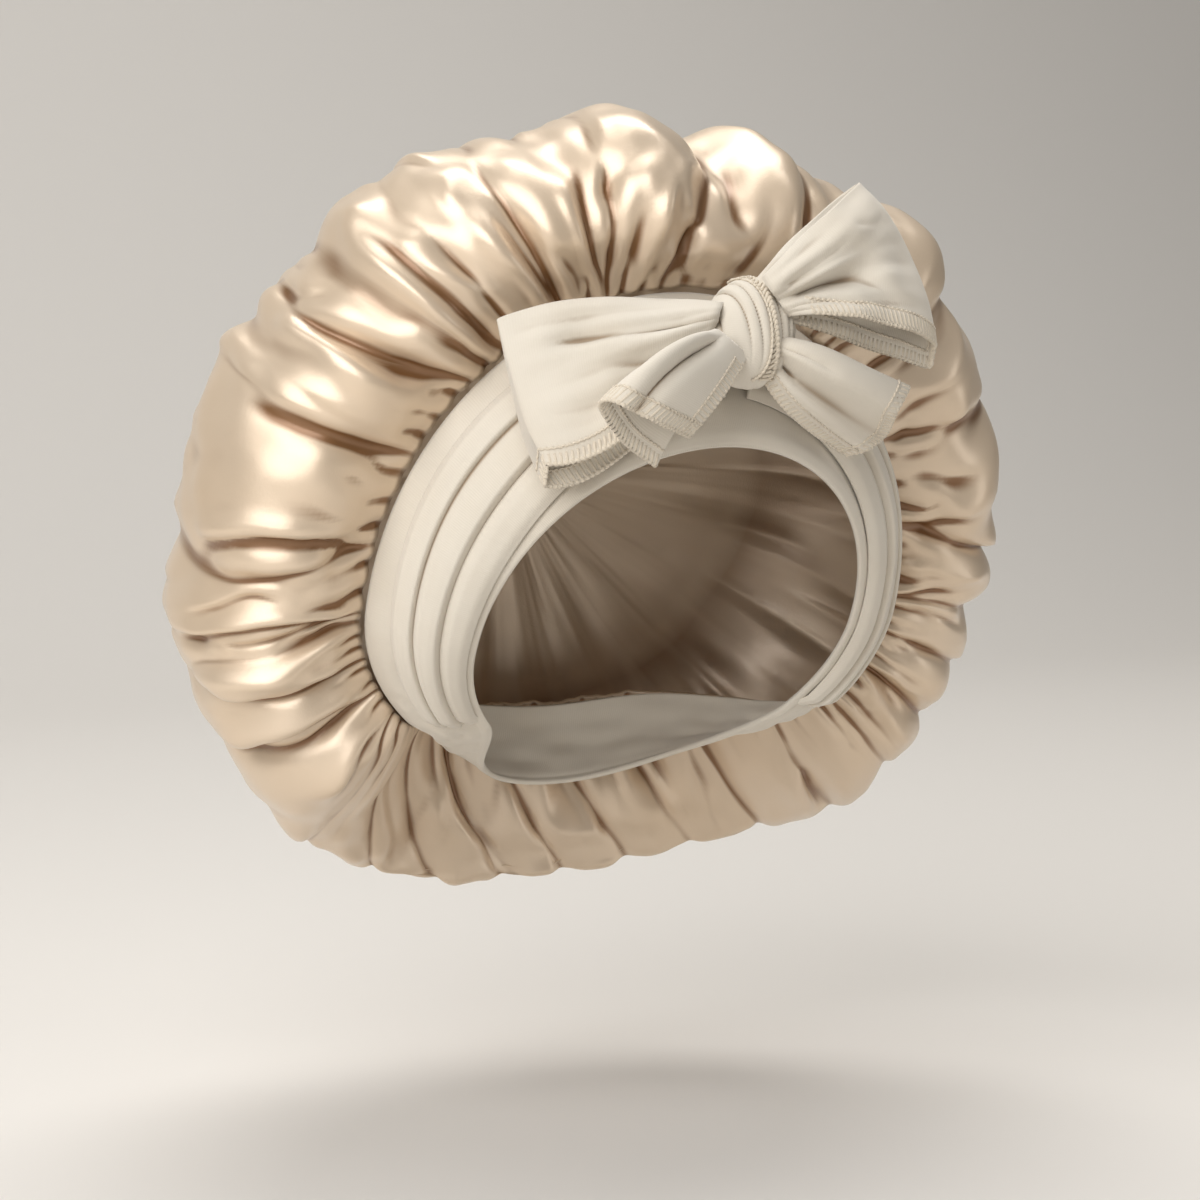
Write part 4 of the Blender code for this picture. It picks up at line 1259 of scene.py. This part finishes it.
# %% [markdown]
# ## Overlocked hems
#
# The raw edges of the ties are overlocked: a needle thread runs a few millimetres in from the edge, and
# looper threads zigzag from it round the edge. Each stitch is a short tube whose path is read off the cloth
# itself, so it follows every roll. All the stitches of one hem are computed together: a path for every
# stitch, times a circle for the thread's section.

# %% Threads
STITCH_PITCH = 2.1 * MM
THREAD_RADIUS = 0.60 * MM
CORD_RADIUS = 0.46 * MM
EDGE_RADIUS = 0.86 * MM
HEM_WIDTH = 6.6 * MM
THREAD_SIDES = 6
# a looper's path: share of the hem's width, side of the cloth, and stitches along the hem
LOOPER_ACROSS = np.array([1.0, 0.75, 0.5, 0.25, 0.10, 0.04, 0.10, 0.3, 0.7])
LOOPER_FACE = np.array([1, 1, 1, 1, 0.7, 0.0, -0.7, -1, -1])
LOOPER_SLANT = np.array([-0.40, -0.25, -0.10, 0.05, 0.18, 0.24, 0.18, 0.0, -0.3])


def tubes(paths, radius):
    """Tubes round many paths at once: each path point plus a circle square to the path there."""
    ahead = unit(np.gradient(paths, axis=1))
    helper = np.where(np.abs(ahead[..., :1]) < 0.9, np.array([1.0, 0, 0]), np.array([0, 1.0, 0]))
    side = unit(np.cross(ahead, helper))
    up = np.cross(ahead, side)
    turn = np.linspace(0, 2 * math.pi, THREAD_SIDES, endpoint=False)
    ring = np.cos(turn)[:, None] * side[..., None, :] + np.sin(turn)[:, None] * up[..., None, :]
    return paths[..., None, :] + np.asarray(radius)[..., None, None] * ring


def tube_mesh(name, groups):
    """One mesh of several groups of closed tubes, each tube with a cap at both ends."""
    corners, faces, first = [], [], 0
    for rings in groups:
        count, steps, sides = rings.shape[:3]
        start = first + (np.arange(count) * steps * sides)[:, None, None]
        caps = np.stack([np.arange(sides)[::-1], (steps - 1) * sides + np.arange(sides)])
        faces += (grid_faces(steps, sides, True) + start).reshape(-1, 4).tolist()
        faces += (caps + start).reshape(-1, sides).tolist()
        corners.append(rings.reshape(-1, 3))
        first += len(corners[-1])
    mesh = bpy.data.meshes.new(name)
    mesh.from_pydata(np.concatenate(corners).tolist(), [], faces)
    mesh.shade_smooth()
    return linked(name, mesh)


# %% Hems read off the cloth
def hem_guide(skin, rows, columns, down, right):
    """A hem as its run in metres, and its grid rows, columns and steps into the cloth at every run. A step
    is one hem width, measured on the cloth over three grid squares."""
    rows, columns = (np.array(value, float) for value in np.broadcast_arrays(rows, columns))
    here = read_grid(skin, rows, columns)
    there = read_grid(skin, rows + down * 3.0, columns + right * 3.0)
    squares = HEM_WIDTH / np.maximum(np.linalg.norm(there - here, axis=-1) / 3.0, 1e-6)
    run = np.concatenate([[0.0], np.cumsum(np.linalg.norm(np.diff(here, axis=0), axis=1))])
    return run, (rows, columns, down * squares, right * squares)


def on_hem(skin, guide, at, across, face):
    """Places at runs along a hem, at shares of its width into the cloth and at heights off its surface."""
    row, column, down, right = (np.interp(at, guide[0], track) for track in guide[1])
    row, column = row + down * across, column + right * across
    outward = unit(read_grid(grid_normals(skin), row, column))
    return from_ring(read_grid(skin, row, column) + outward * np.asarray(face)[..., None])


def looper_threads(skin, guide, wall):
    """One short thread for every stitch, which goes round the edge from one face to the other."""
    length = guide[0][-1]
    count = max(2, int(length / STITCH_PITCH))
    middles = (np.arange(count) + 0.5) / count * length
    at = np.clip(middles[:, None] + STITCH_PITCH * LOOPER_SLANT, 0, length)
    paths = on_hem(skin, guide, at, LOOPER_ACROSS, LOOPER_FACE * (wall / 2 - 0.45 * THREAD_RADIUS))
    return tubes(paths, np.full(at.shape, THREAD_RADIUS))


def long_thread(skin, guide, across, face, radius):
    """One thread that runs along the hem with a small weave, and swells once a stitch."""
    length = guide[0][-1]
    at = np.linspace(0, length, int(length / STITCH_PITCH * 6))
    phase = 2 * np.pi * at / STITCH_PITCH
    path = on_hem(skin, guide, at, across + 0.03 * np.sin(phase), face)
    return tubes(path[None], (radius * (1 + 0.25 * np.sin(phase + 1.0)))[None])


def stitched(name, hems, wall):
    """All the overlock of one piece as one mesh: looper threads, a needle line along the inner side on both
    faces and a chain round the edge."""
    groups = []
    for skin, *places in hems:
        guide = hem_guide(skin, *places)
        needle = wall / 2 + 0.1 * CORD_RADIUS
        groups.append(looper_threads(skin, guide, wall))
        groups.append(long_thread(skin, guide, 1.0, needle, CORD_RADIUS))
        groups.append(long_thread(skin, guide, 1.0, -needle, CORD_RADIUS))
        groups.append(long_thread(skin, guide, 0.06, 0.0, EDGE_RADIUS))
    return tube_mesh(name, groups)


# %% Stitch every hem
def loop_hem(skin):
    """A loop's hem runs along its last column, on both layers."""
    last = skin.shape[0] - 1
    rows = np.linspace(last * 0.04, last * 0.96, 240)
    return skin, rows, float(skin.shape[1] - 1), 0.0, -1.0


def tail_hems(skin):
    """A tail's hems run along its side edge and across its far end."""
    last_row, last_column = skin.shape[0] - 1, skin.shape[1] - 1
    side = (skin, np.linspace(last_row * 0.12, last_row * 0.97, 140), 0.0, 0.0, 1.0)
    end = (skin, float(last_row), np.linspace(0, last_column, 240), -1.0, 0.0)
    return [side, end]


def knot_hem():
    """The strap's edge crosses the front of the knot: theta solves A cos(theta) + B sin(theta) = edge."""
    phi = np.radians(np.linspace(12, 172, 160))
    a, b = math.cos(KNOT_SLANT), math.sin(KNOT_SLANT) * np.cos(phi)
    theta = np.arctan2(b, a) + np.arccos(np.clip((KNOT_EDGE - 0.01) / np.hypot(a, b), -1, 1))
    rows = theta / np.pi * (knot_skin.shape[0] + 1) - 1
    columns = phi / (2 * np.pi) * knot_skin.shape[1]
    return knot_skin, rows, columns, 1.0, 0.0


hems = {
    "bow_loop_right": [loop_hem(bow_skins["bow_loop_right"])],
    "bow_loop_left": [loop_hem(bow_skins["bow_loop_left"])],
    "bow_tail_right": tail_hems(bow_skins["bow_tail_right"]),
    "bow_tail_left": tail_hems(bow_skins["bow_tail_left"]),
    "knot": [knot_hem()],
}
stitches = {}
for node, parts in hems.items():
    stitches[node] = stitched(f"{node}_overlock", parts, BOW_WALL)
    print(node, "stitch faces", len(stitches[node].data.polygons))

# %% [markdown]
# ## Shader maths as Python
#
# Nodes are easier to read as sums. A small class wraps a socket and gives it the usual operators; each one
# adds the Math node that it stands for. Everything else goes through one method that makes any node.

# %% Material helpers


class Wire:
    """A number that varies over a surface. A sum or product of it adds a Math node, in either order."""

    def __init__(self, finish, socket):
        self.finish = finish
        self.socket = socket

    def maths(self, operation, other):
        return self.finish.node("ShaderNodeMath", {"operation": operation}, {0: self, 1: other})

    def __add__(self, other):
        return self.maths("ADD", other)

    def __mul__(self, other):
        return self.maths("MULTIPLY", other)

    __radd__ = __add__
    __rmul__ = __mul__


class Finish:
    """A cloth's finish: its Principled shader and the nodes that feed it."""

    def __init__(self, name, **constants):
        self.material = bpy.data.materials.new(name)
        self.material.use_nodes = True
        self.tree = self.material.node_tree
        self.shader = self.tree.nodes["Principled BSDF"]
        for socket, value in constants.items():
            self.shader.inputs[socket.replace("_", " ").title()].default_value = value

    def node(self, kind, settings=None, sockets=None, output=0):
        """Any node: its settings first, then the values or links of its sockets, and one of its outputs."""
        made = self.tree.nodes.new(kind)
        for key, value in (settings or {}).items():
            setattr(made, key, value)
        for key, value in (sockets or {}).items():
            self.feed(made.inputs[key], value)
        return Wire(self, made.outputs[output])

    def feed(self, socket, value):
        """Links a wire to a socket, or sets the socket's own value."""
        if isinstance(value, Wire):
            self.tree.links.new(value.socket, socket)
        else:
            socket.default_value = value

    def mix(self, factor, one, two):
        """Colour one where the factor is 0 and colour two where it is 1."""
        return self.node("ShaderNodeMix", {"data_type": "RGBA"}, {0: factor, 6: one, 7: two}, output=2)

    def noise(self, place, scale, detail=2.0, stretch=(1.0, 1.0, 1.0)):
        """Soft noise between about 0.3 and 0.7, on places stretched along any axis."""
        mapped = self.node("ShaderNodeMapping", None, {"Vector": place, "Scale": stretch})
        return self.node("ShaderNodeTexNoise", None, {"Vector": mapped, "Scale": scale, "Detail": detail})

    def place(self, kind="Object"):
        """Object coordinates in metres, or the flat cloth's own UV map."""
        if kind == "Object":
            return self.node("ShaderNodeTexCoord", output="Object")
        return self.node("ShaderNodeUVMap", {"uv_map": "cloth"})

    def hollows(self, low, high):
        """0 where the cloth lies flat and 1 in its creases, from the attribute that every cloth carries: the
        mask of painted shade.
        """
        painted_crease_shade = self.node("ShaderNodeAttribute", {"attribute_name": "painted_crease_shade"}, output="Fac")
        smooth = {"interpolation_type": "SMOOTHSTEP"}
        return self.node("ShaderNodeMapRange", smooth, {0: painted_crease_shade, 1: low, 2: high})

    def ridges(self, phase):
        """Smooth ridges between 0 and 1 from a phase in radians."""
        return self.node("ShaderNodeMath", {"operation": "SINE"}, {0: phase}) * 0.5 + 0.5

    def bumps(self, height, distance, strength):
        """A Bump node: height times distance in metres."""
        sockets = {"Height": height, "Distance": distance, "Strength": strength}
        return self.node("ShaderNodeBump", None, sockets)

    def finish_with(self, **wires):
        """Feeds the shader's sockets."""
        for socket, value in wires.items():
            self.feed(self.shader.inputs[socket.replace("_", " ").title()], value)
        return self.material


# %% [markdown]
# ## Champagne satin
#
# Satin floats long threads over its face, so it is glossy like soft metal: bright cream where it faces a
# window and deep brown in its creases. A partly metallic shader with a middling roughness gives those soft,
# The colour is darkened towards deep brown in the creases as painted shade, read from an attribute that the
# crown carries.

# %% The satin
SATIN_LIGHT = (0.76, 0.63, 0.49, 1.0)
SATIN_MIDDLE = (0.65, 0.50, 0.345, 1.0)
# painted shade: the dark brown that the creases are coloured with
SATIN_PAINTED_SHADE = (0.19, 0.075, 0.012, 1.0)


def satin_finish():
    """Champagne satin with a fine thread grain."""
    satin = Finish("champagne_satin", metallic=0.40, coat_weight=0.42, coat_roughness=0.25)
    satin.shader.inputs["IOR"].default_value = 1.7
    place = satin.place()
    patches = satin.noise(place, 14.0)
    tone = satin.mix(patches, SATIN_LIGHT, SATIN_MIDDLE)
    # painted shade: the base colour darkens towards dark brown in the creases
    colour = satin.mix(satin.hollows(0.02, 0.95) * 0.95, tone, SATIN_PAINTED_SHADE)
    grain = satin.noise(place, 900.0, 1.0)
    threads = satin.noise(satin.place("cloth"), 420.0, 2.0, (1.0, 6.0, 1.0))
    rough = 0.29 + patches * 0.10 + grain * 0.08
    bump = satin.bumps(threads * 0.6 + grain * 0.4, 0.00012, 0.6)
    return satin.finish_with(base_color=colour, roughness=rough, normal=bump)


satin_material = satin_finish()

# %% [markdown]
# ## Cream jersey
#
# Jersey is a knit: rows of tiny loops that read as fine ribs, matte and slightly fuzzy. The ribs are a sine
# along the cloth's own UV map, about one every millimetre, and noise makes them a little uneven.

# %% The jersey
JERSEY_PALE = (0.70, 0.655, 0.575, 1.0)
JERSEY_WARM = (0.57, 0.50, 0.40, 1.0)
# painted shade: the dark tone that the creases are coloured with
JERSEY_PAINTED_SHADE = (0.24, 0.155, 0.08, 1.0)
RIB_PITCH = 0.9 * MM


def jersey_finish(name, across_axis):
    """Matte knit whose ribs run along one axis of the cloth's UV map."""
    jersey = Finish(name, metallic=0.0, sheen_weight=0.25, sheen_roughness=0.6)
    cloth = jersey.place("cloth")
    split = jersey.node("ShaderNodeSeparateXYZ", None, {0: cloth}, output=across_axis)
    wobble = jersey.noise(cloth, 130.0, 2.0)
    ribs = jersey.ridges(split * (2 * math.pi / RIB_PITCH) + wobble * 5.0)
    fuzz = jersey.noise(jersey.place(), 1400.0, 2.0)
    patches = jersey.noise(jersey.place(), 26.0, 3.0)
    tone = jersey.mix(patches * 0.75 + ribs * 0.10, JERSEY_PALE, JERSEY_WARM)
    # painted shade: the base colour darkens towards a dark tone in the creases
    colour = jersey.mix(jersey.hollows(0.03, 0.8) * 0.8, tone, JERSEY_PAINTED_SHADE)
    bump = jersey.bumps(ribs * 0.6 + fuzz * 0.5, 0.00010, 0.5)
    return jersey.finish_with(base_color=colour, roughness=0.82 + fuzz * 0.15, normal=bump)


band_material = jersey_finish("cream_jersey_band", "X")
tie_material = jersey_finish("cream_jersey_ties", "Y")


# %% [markdown]
# ## Sewing thread
#
# Overlock thread is spun, soft and a little darker than the cloth. A very fine noise stands for its twist.

# %% The thread
THREAD_PALE = (0.70, 0.63, 0.52, 1.0)
THREAD_WARM = (0.56, 0.48, 0.37, 1.0)


def thread_finish():
    """Soft spun polyester thread."""
    thread = Finish("cream_overlock_thread", metallic=0.0, sheen_weight=0.3)
    twist = thread.noise(thread.place(), 2500.0, 1.0)
    colour = thread.mix(twist, THREAD_PALE, THREAD_WARM)
    bump = thread.bumps(twist, 0.0001, 0.5)
    return thread.finish_with(base_color=colour, roughness=0.7 + twist * 0.1, normal=bump)


thread_material = thread_finish()

# %% Dress every piece
crown.data.materials.append(satin_material)
band.data.materials.append(band_material)
for piece in [knot, *wraps.values(), *bow.values()]:
    piece.data.materials.append(tie_material)
for piece in stitches.values():
    piece.data.materials.append(thread_material)

# %% [markdown]
# ## Putting every piece on the body
#
# Every piece rides on the part's one body and stands for the plain solid of the same name.

LOOP_FLAT = (0.17, 0.055)
TAIL_FLAT = (0.062, 0.07)


def stands_for(piece, node):
    """Rides on the root body and replaces one node, whose plain solid it hides."""
    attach(piece, "root")
    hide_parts(node)


stands_for(crown, "crown")
stands_for(band, "band")
stands_for(knot, "knot")
for side, piece in wraps.items():
    stands_for(piece, f"tie_wrap_{side}")
for node, piece in bow.items():
    stands_for(piece, node)
for piece in stitches.values():
    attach(piece, "root")

for node, piece in bow.items():
    flat = LOOP_FLAT if "loop" in node else TAIL_FLAT

# %% [markdown]
# ## Camera, floor and light
#
# The camera stands a little to the side and a little above, with a long lens. The bonnet is shown as worn,
# so it hangs in the air over a plain pale floor. A wide soft light from the upper left makes the long
# highlights of the satin, and weaker ones fill the shadows.

# %% Stage
CAMERA_TURN = math.radians(-25.0)
CAMERA_RISE = math.radians(5.0)
CAMERA_DISTANCE = 1.25
LENS_PIXELS = 3150.0
FRAME_PIXELS = 1200.0
CENTRE_OFFSET = (33.0, -1.0)
FLOOR_HEIGHT = -0.21
FLOOR_REACH = 9.0
COVE_DISTANCE = 2.6
COVE_RADIUS = 1.2
COVE_TOP = 5.0
SENSOR_MM = 36.0
FLOOR_COLOUR = (0.74, 0.715, 0.68, 1.0)
ROOM_COLOUR = (0.90, 0.875, 0.84, 1.0)
WINDOW_LIGHT = (1.0, 0.99, 0.98)
LAMP_LIGHT = (1.0, 0.98, 0.95)


def plain_material(name, colour, roughness):
    """One plain colour for the floor."""
    material = bpy.data.materials.new(name)
    material.use_nodes = True
    shader = material.node_tree.nodes["Principled BSDF"]
    shader.inputs["Base Color"].default_value = colour
    shader.inputs["Roughness"].default_value = roughness
    return material


def add_floor():
    """A wide pale floor that curves up into a wall a few metres behind the bonnet."""
    bend = np.linspace(0, math.pi / 2, 24)
    back = COVE_DISTANCE - COVE_RADIUS + COVE_RADIUS * np.sin(bend)
    rise = FLOOR_HEIGHT + COVE_RADIUS * (1 - np.cos(bend))
    points = np.empty((len(bend) + 2, 2, 3))
    points[..., 0] = (-FLOOR_REACH, FLOOR_REACH)
    points[..., 1] = np.concatenate([[-FLOOR_REACH], back, [COVE_DISTANCE]])[:, None]
    points[..., 2] = np.concatenate([[FLOOR_HEIGHT], rise, [COVE_TOP]])[:, None]
    mesh = bpy.data.meshes.new("floor")
    mesh.from_pydata(points.reshape(-1, 3).tolist(), [], grid_faces(len(points), 2, False).tolist())
    mesh.shade_smooth()
    mesh.materials.append(plain_material("pale_floor", FLOOR_COLOUR, 0.8))
    linked("floor", mesh)


def look_from(thing, place, target):
    """Puts a camera or light at a place, turned to look at a target."""
    offset = np.array(target) - np.array(place)
    flat = math.hypot(offset[0], offset[1])
    thing.location = place
    thing.rotation_euler = (math.pi / 2 + math.atan2(offset[2], flat), 0.0, math.atan2(-offset[0], offset[1]))


def add_light(name, place, size, power, colour):
    """A square soft light that looks at the bonnet."""
    data = bpy.data.lights.new(name, "AREA")
    data.shape = "RECTANGLE"
    data.size, data.size_y = size
    data.energy = power
    data.color = colour
    look_from(linked(name, data), place, (0.0, 0.0, 0.02))


def add_camera():
    """The camera, with its aim shifted so that the origin falls where it should in the picture."""
    back = np.array(
        [
            math.sin(CAMERA_TURN) * math.cos(CAMERA_RISE),
            -math.cos(CAMERA_TURN) * math.cos(CAMERA_RISE),
            math.sin(CAMERA_RISE),
        ]
    )
    right = np.array([math.cos(CAMERA_TURN), math.sin(CAMERA_TURN), 0.0])
    up = np.cross(back, right)
    per_pixel = CAMERA_DISTANCE / LENS_PIXELS
    target = -right * CENTRE_OFFSET[0] * per_pixel + up * CENTRE_OFFSET[1] * per_pixel
    data = bpy.data.cameras.new("camera")
    data.sensor_width = SENSOR_MM
    data.lens = SENSOR_MM * LENS_PIXELS / FRAME_PIXELS
    camera = linked("camera", data)
    look_from(camera, tuple(back * CAMERA_DISTANCE), tuple(target))
    bpy.context.scene.camera = camera


def add_surroundings(colour, strength):
    """A plain pale room colour all round."""
    world = bpy.data.worlds.new("room")
    world.use_nodes = True
    background = world.node_tree.nodes["Background"]
    background.inputs["Color"].default_value = colour
    background.inputs["Strength"].default_value = strength
    bpy.context.scene.world = world


add_floor()
add_camera()
add_surroundings(ROOM_COLOUR, 0.20)
add_light("window", (-1.45, -1.05, 1.15), (2.1, 2.0), 50.0, WINDOW_LIGHT)
add_light("right_fill", (1.7, -1.2, 0.35), (0.7, 1.4), 5.0, LAMP_LIGHT)
add_light("overhead", (-0.1, 0.2, 1.8), (1.0, 0.7), 5.0, LAMP_LIGHT)
add_light("backdrop_wash", (0.6, 1.0, 2.4), (2.0, 1.0), 34.0, LAMP_LIGHT)
bpy.context.scene.view_settings.view_transform = "Standard"
